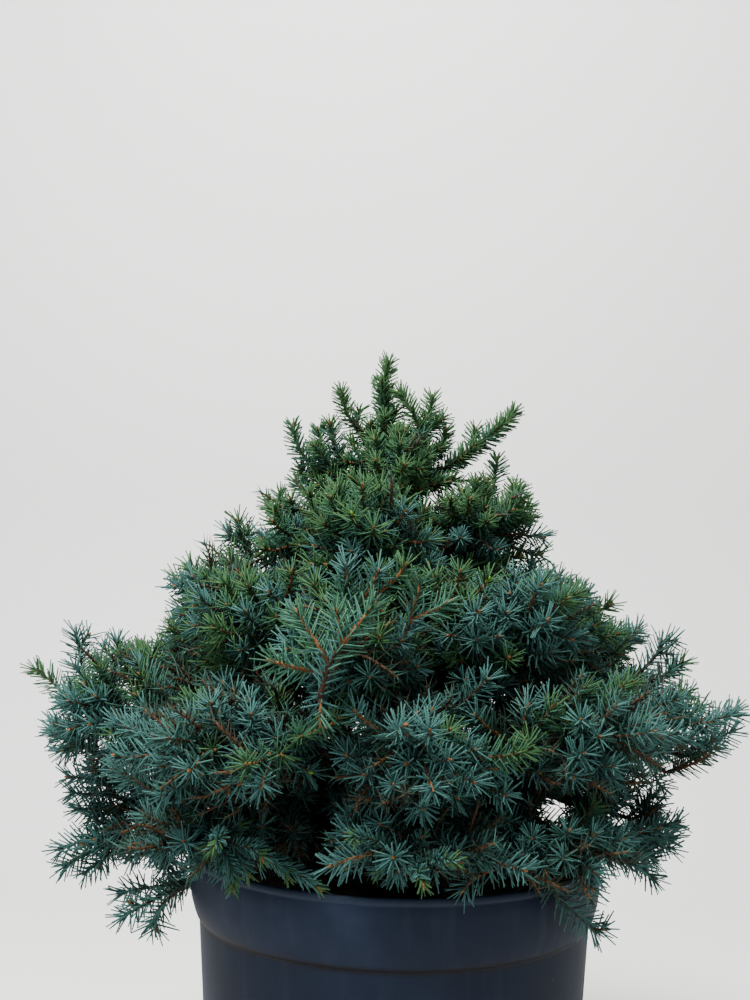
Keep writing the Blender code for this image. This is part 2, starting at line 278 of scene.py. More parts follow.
def camera_axes():
    """The camera's right, up and backward directions."""
    level = Vector((-math.sin(TURN), math.cos(TURN), 0.0))
    side = Vector((math.cos(TURN), math.sin(TURN), 0.0))
    ahead = level * math.cos(TILT) + UP * math.sin(TILT)
    head = UP * math.cos(TILT) - level * math.sin(TILT)
    right = side * math.cos(ROLL) + head * math.sin(ROLL)
    above = head * math.cos(ROLL) - side * math.sin(ROLL)
    return right, above, -ahead


AXES = camera_axes()


def add_camera():
    data = bpy.data.cameras.new("camera")
    data.sensor_width = SENSOR
    data.lens = SENSOR * FOCAL_PIXELS / max(PICTURE)
    camera = bpy.data.objects.new("camera", data)
    right, above, back = AXES
    turn = Matrix((right, above, back)).transposed().to_4x4()
    camera.matrix_world = Matrix.Translation(EYE) @ turn
    bpy.context.scene.collection.objects.link(camera)
    bpy.context.scene.camera = camera
    bpy.context.scene.view_settings.look = "AgX - Medium High Contrast"


def sight(px, py):
    """Direction from the camera through that pixel of the photograph."""
    right, above, back = AXES
    across = (px - PICTURE[0] / 2) / FOCAL_PIXELS
    down = (py - PICTURE[1] / 2) / FOCAL_PIXELS
    return (right * across - above * down - back).normalized()


def seen_at(px, py, depth):
    """The point that the pixel shows at that Y."""
    way = sight(px, py)
    return EYE + way * ((depth - EYE.y) / way.y)


def in_patch(place):
    """Whether that place is seen where the wall shows in the photograph, or so near that needles reach in."""
    right, above, back = AXES
    gap = place - EYE
    scale = -FOCAL_PIXELS / gap.dot(back)
    px, py = PICTURE[0] / 2 + gap.dot(right) * scale, PICTURE[1] / 2 - gap.dot(above) * scale
    return any((px - x) ** 2 + (py - y) ** 2 < (r + NEEDLE_PIXELS) ** 2 for x, y, r in OPEN_PATCHES)


# Materials


def material(name, colour, roughness=0.5, specular=0.5):
    made = bpy.data.materials.new(name)
    made.use_nodes = True
    shader = made.node_tree.nodes["Principled BSDF"]
    shader.inputs["Base Color"].default_value = (*colour, 1.0)
    shader.inputs["Roughness"].default_value = roughness
    shader.inputs["Specular IOR Level"].default_value = specular
    return made, made.node_tree, shader


def noise_ramp(tree, scale, detail, stops, upright=1.0):
    """A noise over the object's own place, turned into colours; returns the ramp and the noise."""
    place = tree.nodes.new("ShaderNodeTexCoord")
    scaled = tree.nodes.new("ShaderNodeMapping")
    scaled.inputs["Scale"].default_value = (1.0, 1.0, upright)
    tree.links.new(place.outputs["Object"], scaled.inputs["Vector"])
    grain = tree.nodes.new("ShaderNodeTexNoise")
    grain.inputs["Scale"].default_value = scale
    grain.inputs["Detail"].default_value = detail
    grain.inputs["Roughness"].default_value = 0.6
    tree.links.new(scaled.outputs["Vector"], grain.inputs["Vector"])
    ramp = tree.nodes.new("ShaderNodeValToRGB")
    elements = ramp.color_ramp.elements
    while len(elements) < len(stops):
        elements.new(0.5)
    for element, (at, colour) in zip(elements, stops):
        element.position = at
        element.color = (*colour, 1.0)
    tree.links.new(grain.outputs["Fac"], ramp.inputs["Fac"])
    return ramp, grain


def sum_of(tree, operation, *values):
    """What a maths node makes of those numbers and outputs."""
    node = tree.nodes.new("ShaderNodeMath")
    node.operation = operation
    for socket, value in zip(node.inputs, values):
        if isinstance(value, float):
            socket.default_value = value
        else:
            tree.links.new(value, socket)
    return node.outputs[0]


def blend(tree, below, colour, mask):
    """That colour over the one below, where the mask is 1."""
    mix = tree.nodes.new("ShaderNodeMix")
    mix.data_type = "RGBA"
    tree.links.new(mask, mix.inputs[0])
    tree.links.new(below, mix.inputs[6])
    mix.inputs[7].default_value = (*colour, 1.0)
    return mix.outputs[2]


def add_bump(tree, shader, height, distance):
    bump = tree.nodes.new("ShaderNodeBump")
    bump.inputs["Distance"].default_value = distance
    bump.inputs["Strength"].default_value = 1.0
    tree.links.new(height, bump.inputs["Height"])
    tree.links.new(bump.outputs["Normal"], shader.inputs["Normal"])


def bark_material(name, stops, scale, depth):
    made, tree, shader = material(name, stops[0][1], 0.85, 0.25)
    ramp, grain = noise_ramp(tree, scale, 6.0, stops)
    tree.links.new(ramp.outputs["Color"], shader.inputs["Base Color"])
    add_bump(tree, shader, grain.outputs["Fac"], depth)
    return made


NEEDLE_COLOURS = {
    # blue is the needles' own glaucous tone, with some of the bluish shade light of the lower crown painted
    # into it
    "blue": (0.047, 0.103, 0.095),
    "teal": (0.036, 0.080, 0.066),
    "green": (0.034, 0.081, 0.050),
    "bright": (0.042, 0.088, 0.039),
    # pale is a lighter copy of blue for the near shoots at the front: painted light where they stand out into
    # the light
    "pale": (0.056, 0.128, 0.092),
    "deep": (0.023, 0.043, 0.034),
    "old": (0.033, 0.032, 0.022),
}

TONES = list(NEEDLE_COLOURS)
# The tones along one shoot: at its foot, in the middle and in the tuft round its bud. The darker foot is
# painted shade, and the lighter tuft is fresher green with a painted highlight
NEEDLE_TONES = {
    "blue": ("teal", "blue", "blue"),
    "teal": ("deep", "teal", "blue"),
    "green": ("teal", "green", "bright"),
    "bright": ("green", "bright", "bright"),
    # The near shoots take the pale tone in their middle: painted light
    "near": ("blue", "pale", "green"),
    "finger": ("teal", "blue", "bright"),
    "deep": ("old", "deep", "teal"),
    "old": ("old", "old", "deep"),
}


# Mesh helpers


def mesh_piece(name, places, faces, look):
    """A piece from arrays: places is (n, 3), and faces is (m, k) with one k for all."""
    mesh = bpy.data.meshes.new(name)
    count, corners = faces.shape
    mesh.vertices.add(len(places))
    mesh.vertices.foreach_set("co", np.asarray(places, np.float32).ravel())
    mesh.loops.add(count * corners)
    mesh.loops.foreach_set("vertex_index", faces.astype(np.int32).ravel())
    mesh.polygons.add(count)
    mesh.polygons.foreach_set("loop_start", np.arange(count, dtype=np.int32) * corners)
    mesh.polygons.foreach_set("loop_total", np.full(count, corners, np.int32))
    mesh.update(calc_edges=True)
    mesh.validate()
    mesh.polygons.foreach_set("use_smooth", np.full(count, True))
    mesh.materials.append(look)
    piece = bpy.data.objects.new(name, mesh)
    bpy.context.scene.collection.objects.link(piece)
    return piece


def frames_along(path):
    """Two unit directions across the path at each point, carried along it without twist."""
    path = np.asarray(path)
    way = np.gradient(path, axis=0)
    way /= np.linalg.norm(way, axis=1, keepdims=True)
    first = np.cross(way[0], (0.0, 0.0, 1.0))
    if np.linalg.norm(first) < 0.2:
        first = np.cross(way[0], (1.0, 0.0, 0.0))
    sides = []
    for w in way:
        first = first - w * first.dot(w)
        first = first / np.linalg.norm(first)
        sides.append(first)
    sides = np.array(sides)
    return way, sides, np.cross(way, sides)


def tube(path, radii, sides):
    """Points and triangles of a closed tapering tube."""
    _, across, above = frames_along(path)
    turns = np.arange(sides) * math.tau / sides
    ring = np.cos(turns)[None, :, None] * across[:, None] + np.sin(turns)[None, :, None] * above[:, None]
    places = (np.asarray(path)[:, None] + ring * np.asarray(radii)[:, None, None]).reshape(-1, 3)
    places = np.vstack([places, path[0], path[-1]])
    count = len(path)
    faces = []
    for i in range(count - 1):
        for j in range(sides):
            a, b = i * sides + j, i * sides + (j + 1) % sides
            c, d = a + sides, b + sides
            faces += [(a, b, d), (a, d, c)]
    low, high, last = count * sides, count * sides + 1, (count - 1) * sides
    for j in range(sides):
        faces.append((low, (j + 1) % sides, j))
        faces.append((high, last + j, last + (j + 1) % sides))
    return places, np.array(faces)


def limb(path, radii, sides, relief):
    """A tube whose surface stands up in bark plates, as high as the relief."""
    places, faces = tube(path, radii, sides)
    centres = np.repeat(np.asarray(path), sides, axis=0)
    for i, centre in enumerate(centres):
        out = places[i] - centre
        size = np.linalg.norm(out)
        p = Vector(places[i])
        plates = noise.noise(Vector((p.x * 240.0, p.y * 240.0, p.z * 110.0)))
        cracks = noise.noise(Vector((p.x * 600.0, p.y * 600.0, p.z * 260.0)))
        places[i] += out / size * min(relief, size * RELIEF_SHARE) * (plates + 0.5 * cracks)
    return places, faces


def joined(parts):
    """Several (points, faces) as one."""
    places, faces, offset = [], [], 0
    for p, f in parts:
        places.append(p)
        faces.append(f + offset)
        offset += len(p)
    return np.vstack(places), np.vstack(faces)


def spherical_random(rng):
    """A random unit direction."""
    z = rng.uniform(-1.0, 1.0)
    turn = rng.uniform(0.0, math.tau)
    flat = math.sqrt(1.0 - z * z)
    return Vector((flat * math.cos(turn), flat * math.sin(turn), z))


# Envelope


class Mass:
    """One CAD mass: its surface, its centre, and the limb that grows into it."""

    def __init__(self, name):
        self.name = name
        mesh = NODES[name].data
        self.places = np.array([v.co for v in mesh.vertices])
        mesh.calc_loop_triangles()
        self.faces = np.array([t.vertices for t in mesh.loop_triangles])
        self.tree = BVHTree.FromPolygons(self.places.tolist(), self.faces.tolist())
        self.centre = Vector(self.places.mean(0))
        self.radius = float(np.linalg.norm(self.places - self.places.mean(0), axis=1).max())
        self.nodes = []

    def outside(self, point):
        """Distance out of the surface, below zero inside."""
        near, normal, _, distance = self.tree.find_nearest(point)
        return distance if (point - near).dot(normal) > 0.0 else -distance

    def surface_points(self, rng, per_area):
        """Random points on the surface, with their normals."""
        corners = self.places[self.faces]
        cross = np.cross(corners[:, 1] - corners[:, 0], corners[:, 2] - corners[:, 0])
        area = np.linalg.norm(cross, axis=1) / 2.0
        count = int(area.sum() * per_area)
        chosen = rng.choice(len(area), count, p=area / area.sum())
        a, b = rng.random((2, count))
        fold = a + b > 1.0
        a[fold], b[fold] = 1.0 - a[fold], 1.0 - b[fold]
        base = corners[chosen]
        points = base[:, 0] + a[:, None] * (base[:, 1] - base[:, 0]) + b[:, None] * (base[:, 2] - base[:, 0])
        return points, (cross / (2.0 * area)[:, None])[chosen]


def outside_all(masses, point):
    """Distance out of the nearest mass, below zero inside any."""
    best = 1.0
    for mass in masses:
        if (point - mass.centre).length < mass.radius + 0.02:
            best = min(best, mass.outside(point))
    return best


def trunk_line():
    """The trunk's centre and its radius at several heights, from its CAD rings."""
    places = np.array([v.co for v in NODES["trunk"].data.vertices])
    line = []
    for z in sorted(set(np.round(places[:, 2], 4))):
        ring = places[np.abs(places[:, 2] - z) < 0.003]
        if not line or z - line[-1][0].z > 0.006:
            centre = ring.mean(0)
            line.append((Vector(centre), float(np.linalg.norm((ring - centre)[:, :2], axis=1).mean())))
    return line


def on_trunk(line, height):
    """The trunk's centre and radius at that height."""
    for (a, ra), (b, rb) in zip(line, line[1:]):
        if a.z <= height <= b.z:
            share = (height - a.z) / (b.z - a.z)
            return a.lerp(b, share), ra + (rb - ra) * share
    end, radius = line[-1] if height > line[-1][0].z else line[0]
    return end.copy(), radius


def bough_line(name, line):
    """A bough's centre line and radii, from inside the trunk to its end."""
    places = np.array([v.co for v in NODES[name].data.vertices])
    level = np.linalg.norm(places[:, :2], axis=1)
    chord = places[level.argmax()] - places[level.argmin()]
    along = places @ (chord / np.linalg.norm(chord))
    order = np.argsort(along)
    rings = np.split(order, np.flatnonzero(np.diff(along[order]) > 0.006) + 1)
    path, radii = [], []
    for ring in rings[1:]:
        centre = places[ring].mean(0)
        path.append(centre)
        radii.append(float(np.linalg.norm(places[ring] - centre, axis=1).mean()))
    near = places[rings[0]].mean(0)
    root, _ = on_trunk(line, near[2] - 0.004)
    return [Vector(p) for p in [root] + path], [radii[0] * 1.1] + radii


# Growth


class Node:
    """A point on the skeleton."""

    __slots__ = ("place", "parent", "way", "radius")

    def __init__(self, place, parent, way):
        self.place, self.parent, self.way = place, parent, way
        self.radius = TWIG_RADIUS


class Grid:
    """Points kept by cell, to find near ones fast."""

    SIZE = 0.016

    def __init__(self):
        self.cells = {}

    def key(self, p):
        return (int(p.x // self.SIZE), int(p.y // self.SIZE), int(p.z // self.SIZE))

    def add(self, p, owner):
        self.cells.setdefault(self.key(p), []).append((p, owner))

    def nearest(self, p, skip=None):
        """Distance to the nearest point of another owner, within a cell's size."""
        x, y, z = self.key(p)
        best = self.SIZE * 1.5
        for i in (x - 1, x, x + 1):
            for j in (y - 1, y, y + 1):
                for k in (z - 1, z, z + 1):
                    for q, owner in self.cells.get((i, j, k), ()):
                        if owner != skip:
                            best = min(best, (p - q).length)
        return best


def cubic(start, a, end, b, t):
    """The point at share t of the curve from start to end that leaves with a and arrives with b."""
    t2, t3 = t * t, t * t * t
    return start * (2 * t3 - 3 * t2 + 1) + a * (t3 - 2 * t2 + t) + end * (3 * t2 - 2 * t3) + b * (t3 - t2)


def hermite(start, start_way, end, end_way):
    """Points about a step apart on a smooth curve between two places and directions."""
    span = (end - start).length
    a, b = start_way * span * CURVE_PULL, end_way * span * CURVE_PULL
    count = max(3, int(span / STEP) + 1)
    return [cubic(start, a, end, b, i / count) for i in range(count + 1)]


def smooth_line(path, radii, step):
    """The line through those points as a smooth one with points a step apart, and its radii."""
    fine, sizes = [path[0]], [radii[0]]
    for i in range(len(path) - 1):
        before, after = path[max(i - 1, 0)], path[min(i + 2, len(path) - 1)]
        start, end = path[i], path[i + 1]
        a, b = (end - before) / 2.0, (after - start) / 2.0
        count = max(1, round((end - start).length / step))
        for k in range(1, count + 1):
            fine.append(cubic(start, a, end, b, k / count))
            sizes.append(radii[i] + (radii[i + 1] - radii[i]) * (k / count))
    return fine, sizes


def walk_back(points, at, gone, reach, stop):
    """Goes back along the points until that length is gone; returns where that is, and the length."""
    while at > stop and gone < reach:
        gone += (points[at] - points[at - 1]).length
        at -= 1
    return at, gone


class Tree:
    """The growing skeleton, its shoots, the boughs' lines, and the tips of the shoots that are lit."""

    def __init__(self, masses):
        self.masses = masses
        self.random = random.Random(SEED)
        self.nodes = []
        self.shoots = []
        self.lit = []
        self.boughs = []
        self.grid = Grid()
        self.owner = 0

    def add_path(self, points, parent, age, mass):
        """Adds the points after the first as nodes, and returns the new ones."""
        made = []
        for a, b in zip(points, points[1:]):
            way = (b - a).normalized() if (b - a).length > 1e-6 else made[-1].way
            node = Node(b, parent, way)
            self.nodes.append(node)
            made.append(node)
            parent = node
        if age != "new":
            mass.nodes += made
        return made

    def mark(self, points):
        for p in points:
            self.grid.add(p, self.owner)

    def shoot(self, points, age, kind):
        """Registers a stretch of twig that bears needles."""
        self.shoots.append((points, age, kind))

    def bough(self, mass, path, radii):
        """Skeleton nodes along a bough, which twigs may leave from its middle outwards."""
        fine, sizes = smooth_line(path, radii, STEP)
        self.boughs.append((fine, sizes))
        self.owner += 1
        self.mark(fine[len(fine) // 2 :])
        parent = Node(fine[0], None, (fine[1] - fine[0]).normalized())
        for i, (a, b) in enumerate(zip(fine, fine[1:])):
            node = Node(b, parent, (b - a).normalized())
            node.radius = sizes[i + 1]
            if i > len(fine) * BARE_SHARE:
                mass.nodes.append(node)
            parent = node
        return parent

    def limb(self, mass, root, way):
        """The limb that carries on from the bough into the mass."""
        aim = (mass.centre - root.place).normalized()
        hit = mass.tree.ray_cast(mass.centre, aim)
        reach = hit[3] if hit[0] else 0.02
        end = mass.centre + aim * reach * LIMB_SHARE
        points = hermite(root.place, way, end, aim)
        mass.nodes.append(root)
        self.owner += 1
        self.add_path(points, root, "old", mass)
        self.mark(points[1:])
        inner = max(1, len(points) // 3)
        self.shoot(points[inner:], "old", "old")
        return mass.centre + aim * reach, aim

    def attach(self, mass, tip, way, length, must=False):
        """The skeleton node that a spray with that tip grows from at the least cost."""
        best, choice = 1e9, None
        for node in mass.nodes:
            gap = tip - node.place
            distance = gap.length
            if distance < length * ATTACH_LENGTHS:
                continue
            gap /= distance
            turn = gap.dot(node.way)
            lead = gap.dot(way)
            if lead < LEAST_LEAD:
                continue
            cost = distance * (1.0 + TURN_COST * (1.0 - turn) + LEAD_COST * (1.0 - lead))
            if cost < best:
                best, choice = cost, node
        if choice is None and must:
            foot = tip - way * length
            choice = min(mass.nodes, key=lambda n: (foot - n.place).length)
        return choice

    def free(self, points, owner):
        """Whether a side shoot has room and stays in the envelope."""
        tail = points[len(points) // 2:]
        if any(in_patch(p) for p in tail):
            return False
        if any(self.grid.nearest(p, owner) < CROWD for p in tail):
            return False
        return outside_all(self.masses, points[-1]) < OVERHANG or sheltered(self.masses, points[-1])

    def side_shoot(self, start, way, side, angle, length, age, kind, mass, own):
        """One shoot at that angle off its stem, where it finds room."""
        tilt = math.radians(angle)
        out = (way * math.cos(tilt) + side * math.sin(tilt)).normalized()
        for share in SHORTER_TRIES:
            reach = length * share
            if reach < SHORTEST_SIDE:
                return
            ease = (out + way * SIDE_BEND + UP * SIDE_LIFT).normalized()
            end = start.place + (out + ease).normalized() * reach
            points = hermite(start.place, out, end, ease)
            if self.free(points, own):
                self.add_path(points, start, "new", mass)
                self.mark(points[1:])
                self.shoot(points, age, kind(points[-1], age))
                return

    def spray(self, mass, tip, way, length, kind, side_count, age="new", named=False):
        """A leading shoot to the tip with its forks and the last year's stem, and whether it had room."""
        root = self.attach(mass, tip, way, length, named)
        if root is None:
            return False
        lean = (root.way + (tip - root.place).normalized() * 1.4).normalized()
        points = hermite(root.place, lean, tip, way)
        if not named and any(in_patch(p) for p in points[1:]):
            return False
        self.owner += 1
        own = self.owner
        lead, gone = walk_back(points, len(points) - 1, 0.0, length, 1)
        stem, _ = walk_back(points, lead, gone, length + STEM_LENGTH, 0)
        older = self.add_path(points[: stem + 1], root, "old", mass) if stem else []
        last = self.add_path(points[stem : lead + 1], older[-1] if older else root, "last", mass)
        self.add_path(points[lead:], last[-1], "new", mass)
        self.mark(points[1:])
        if stem > 1:
            self.shoot(points[: stem + 1], "old", "old")
        self.shoot(points[stem : lead + 1], "last", kind(points[lead], "last"))
        self.shoot(points[lead:], age, kind(tip, age))
        self.forks(last, length, side_count, kind, mass, own, age)
        return True

    def drawn(self, mass, line, sides, kind):
        """A limb through those places, whose end is a new shoot, with new side shoots to those tips."""
        way = (line[1] - line[0]).normalized()
        root = self.attach(mass, line[0], way, 0.004, True)
        self.owner += 1
        lean = (root.way + (line[0] - root.place).normalized()).normalized()
        under = hermite(root.place, lean, line[0], way)
        older = self.add_path(under, root, "old", mass)
        near = line[0].y < -NEAR_LIMB
        self.shoot(under, "last", "teal" if near else "deep")
        fine, _ = smooth_line(line, [0.0] * len(line), STEP)
        lead, _ = walk_back(fine, len(fine) - 1, 0.0, SHOOT_LENGTH[1], 1)
        if lead < 3:
            lead = 0
        last = self.add_path(fine[: lead + 1], older[-1], "last", mass) if lead else older
        new = self.add_path(fine[lead:], last[-1], "new", mass)
        self.mark(under[1:] + fine[1:])
        if near:
            self.lit += [line[-1], *sides]
        if lead and near:
            self.shoot(fine[: lead + 1], "new", "teal")
        elif lead:
            self.shoot(fine[: lead + 1], "last", kind(fine[0], "last"))
        self.shoot(fine[lead:], "new", "near" if near else kind(fine[-1], "new"))
        for tip in sides:
            best = min(last[-6:] + new, key=lambda n: self.branching(n, tip))
            out = (tip - best.place).normalized()
            leaving, arriving = (out + best.way * 0.2).normalized(), (out + UP * 0.2).normalized()
            side = hermite(best.place, leaving, tip, arriving)
            self.add_path(side, best, "new", mass)
            self.mark(side[1:])
            self.shoot(side, "new", "near" if near else kind(tip, "new"))

    def keep_clear(self, places):
        """Keeps the space clear in front of the last drawn limb and behind it, as the camera sees it."""
        back = AXES[2]
        for a in places:
            for b in places:
                for share in CLEAR_SHARES:
                    for off in CLEAR_DEPTHS:
                        self.grid.add(a.lerp(b, share) + back * off, self.owner)

    @staticmethod
    def branching(node, tip):
        """How ill a side shoot to that tip would leave the node."""
        gap = tip - node.place
        return gap.length * (1.0 + 2.0 * abs(gap.normalized().dot(node.way) - 0.7))

    def forks(self, last, length, side_count, kind, mass, own, age):
        """The whorl of shoots under the leading one, and smaller ones back along the stem."""
        fork = last[-1]
        flat = fork.way.cross(UP)
        flat = flat.normalized() if flat.length > 0.2 else fork.way.orthogonal().normalized()
        turn = self.random.uniform(-WHORL_TURN, WHORL_TURN)
        for i in range(side_count):
            roll = turn + math.tau * i / side_count + self.random.uniform(-WHORL_STRAY, WHORL_STRAY)
            side = flat * math.cos(roll) + fork.way.cross(flat) * math.sin(roll)
            self.side_shoot(
                fork, fork.way, side, self.random.uniform(*FORK_ANGLES),
                length * self.random.uniform(*FORK_SHARES), age, kind, mass, own,
            )
        for i, node in enumerate(reversed(last[:-1])):
            roll = turn + SIDE_TURN + i * SIDE_STEP
            side = flat * math.cos(roll) + node.way.cross(flat) * math.sin(roll)
            side = (side - node.way * side.dot(node.way)).normalized()
            self.side_shoot(
                node, node.way, side, self.random.uniform(*SIDE_ANGLES),
                length * self.random.uniform(*SIDE_SHARES), age, kind, mass, own,
            )

    def radii(self):
        """Each node's radius from what it carries."""
        load = {id(n): 0.0 for n in self.nodes}
        for node in reversed(self.nodes):
            node.radius = max(TWIG_RADIUS, load[id(node)] ** (1.0 / PIPE_POWER))
            parent = node.parent
            if parent is not None and id(parent) in load:
                load[id(parent)] += node.radius**PIPE_POWER * 1.02

    def chains(self):
        """Runs of nodes that make one tapering twig each."""
        own = {id(node) for node in self.nodes}
        following = {}
        for node in self.nodes:
            best = following.get(id(node.parent))
            if best is None or node.radius > best.radius:
                following[id(node.parent)] = node
        for node in self.nodes:
            if id(node.parent) in own and following[id(node.parent)] is node:
                continue
            chain = [node]
            while id(chain[-1]) in following:
                chain.append(following[id(chain[-1])])
            places = [node.parent.place] + [n.place for n in chain]
            yield places, [chain[0].radius] + [n.radius for n in chain]


# Limbs that stand out in the photograph: mass, metres in front of the trunk's axis, then the pixels that
# the limb runs through up to its tip, and the pixels of its side shoots' tips
DRAWN_LIMBS = (
    ("top_leader", 0.0, ((384, 420), (385, 395), (388, 364)), ()),
    ("top_left", -0.004, ((372, 448), (360, 433), (346, 412), (341, 392)), ((359, 411),)),
    ("top_right", 0.012, ((432, 470), (421, 433), (408, 404), (400, 393)), ()),
    ("top_right", -0.002, ((430, 428), (432, 399)), ()),
    ("top_right", -0.012, ((441, 456), (446, 430)), ()),
    ("top_right_arm", 0.0, ((450, 468), (472, 450), (490, 436), (504, 424), (513, 413)), ((475, 431),)),
    ("top_right_arm", 0.006, ((480, 445), (497, 429), (508, 421)), ()),
    ("top_left_arm", 0.010, ((352, 492), (327, 474), (305, 458), (296, 441), (293, 427)), ((319, 431),)),
    ("top_left_arm", 0.016, ((340, 458), (334, 440), (330, 424)), ()),
    ("top_left_arm", 0.000, ((318, 488), (306, 480), (301, 468)), ()),
    ("top_left", 0.0, ((364, 462), (351, 441)), ()),
    ("top_left", 0.004, ((362, 480), (350, 458)), ()),
    ("top_left_arm", 0.008, ((346, 478), (338, 454)), ()),
    ("top_leader", -0.006, ((380, 454), (371, 434)), ()),
    ("upper_left", 0.012, ((322, 492), (314, 474)), ()),
    ("shoulder_left", 0.0, ((250, 562), (243, 541), (238, 521)), ((229, 536),)),
    ("upper_right", 0.0, ((494, 486), (497, 460)), ()),
    ("upper_right", 0.0, ((511, 520), (514, 486)), ((522, 499),)),
    ("upper_right", 0.010, ((506, 543), (522, 535), (542, 537)), ()),
    ("shoulder_right", -0.006, ((614, 652), (626, 640), (637, 630)), ()),
    ("middle_right", -0.010, ((626, 680), (645, 668), (658, 652), (661, 642)), ((674, 640), (670, 654))),
    ("middle_right", -0.014, ((656, 682), (672, 670), (683, 663)), ()),
    ("middle_right", -0.004, ((660, 706), (676, 700), (688, 695)), ()),
    ("middle_right", -0.008, ((646, 696), (662, 680), (674, 668)), ()),
    ("middle_right", 0.0, ((650, 738), (682, 740), (702, 730), (720, 718), (734, 711)), ()),
    ("middle_right", 0.010, ((694, 750), (714, 741), (732, 731)), ()),
    ("middle_right", 0.016, ((682, 757), (702, 753), (717, 748)), ()),
    ("middle_right", 0.020, ((670, 772), (684, 764), (698, 757)), ()),
    ("middle_left", 0.0, ((92, 710), (70, 698), (51, 681), (37, 670)), ()),
    ("middle_left", 0.012, ((98, 756), (80, 743), (61, 731)), ()),
    ("middle_left", 0.004, ((90, 744), (67, 752)), ()),
    ("middle_left", -0.010, ((84, 676), (80, 655), (76, 634)), ((88, 636),)),
    ("middle_left", 0.0, ((114, 678), (116, 660), (118, 641)), ((104, 648), (127, 651))),
    ("skirt_left", 0.012, ((192, 797), (160, 808), (127, 803), (105, 785), (90, 768)), ()),
    ("skirt_left", 0.0, ((116, 796), (72, 793)), ()),
    ("skirt_left", 0.0, ((120, 810), (78, 809)), ()),
    ("skirt_left", 0.008, ((120, 846), (101, 860), (85, 873)), ()),
    ("skirt_left", 0.004, ((106, 780), (69, 777)), ()),
    ("skirt_left", 0.006, ((122, 830), (94, 836), (61, 849)), ()),
    ("skirt_left", 0.004, ((118, 838), (92, 850), (65, 866)), ()),
    ("skirt_left", 0.010, ((118, 840), (107, 853), (99, 866)), ()),
    ("skirt_left", 0.022, ((188, 824), (172, 833), (150, 849), (132, 858)), ()),
    ("skirt_left", 0.030, ((232, 866), (203, 877), (174, 889), (149, 902), (123, 917)), ((131, 903),)),
    ("skirt_left", 0.038, ((202, 878), (179, 890), (163, 904), (151, 924)), ((157, 929),)),
    ("skirt_right", 0.0, ((610, 838), (630, 855), (653, 879)), ()),
    ("skirt_right", 0.004, ((638, 842), (655, 840), (670, 839)), ((675, 830),)),
    ("skirt_front_right", 0.115, ((546, 880), (563, 902), (579, 915), (594, 930)), ((604, 929),)),
    ("shoulder_front", 0.203, ((321, 692), (329, 664), (349, 636), (373, 606)),
     ((298, 613), (272, 661), (336, 612), (320, 722))),
    ("shoulder_front", 0.170, ((350, 652), (342, 590)), ((360, 600),)),
    ("shoulder_front", 0.165, ((404, 640), (412, 612), (420, 584)), ((449, 602),)),
)

# Other shoots of the outline by mass, each as the pixel of its tip, that of its foot, and metres in front of
# the trunk's axis
OUTLINE_SHOOTS = (
    ("upper_left", ((280, 495, 287, 530, 0.0), (267, 502, 274, 532, -0.02))),
    ("shoulder_left", ((228, 532, 240, 558, 0.0), (248, 532, 253, 560, 0.0))),
    ("upper_left", ((296, 482, 302, 506, 0.01), (291, 500, 300, 526, 0.02))),
    ("shoulder_left", ((211, 563, 222, 586, 0.01), (189, 577, 208, 596, 0.0),
        (190, 609, 199, 642, 0.02), (180, 608, 198, 621, 0.0))),
    ("upper_right", ((540, 554, 518, 562, -0.01),)),
    ("shoulder_right", ((558, 578, 556, 602, -0.01), (576, 594, 564, 614, 0.0),
        (588, 611, 574, 627, 0.0), (600, 625, 592, 648, 0.01), (611, 636, 598, 656, 0.0),
        (622, 655, 600, 664, 0.0))),
    ("middle_left", ((142, 650, 144, 672, 0.0), (158, 648, 160, 672, 0.0))),
    ("shoulder_right", ((532, 563, 512, 574, -0.005),)),
    ("middle_right", ((662, 787, 640, 780, 0.0),)),
    ("skirt_right", ((657, 806, 636, 800, 0.0), (671, 848, 648, 847, 0.0))),
    ("skirt_left", ((96, 806, 120, 804, -0.02), (184, 868, 206, 856, 0.03), (90, 819, 112, 816, -0.01),
        (112, 822, 136, 816, -0.02))),
    ("middle_left", ((92, 790, 118, 786, -0.02),)),
    ("skirt_right", ((654, 796, 631, 790, 0.0), (650, 856, 630, 846, 0.0))),
)

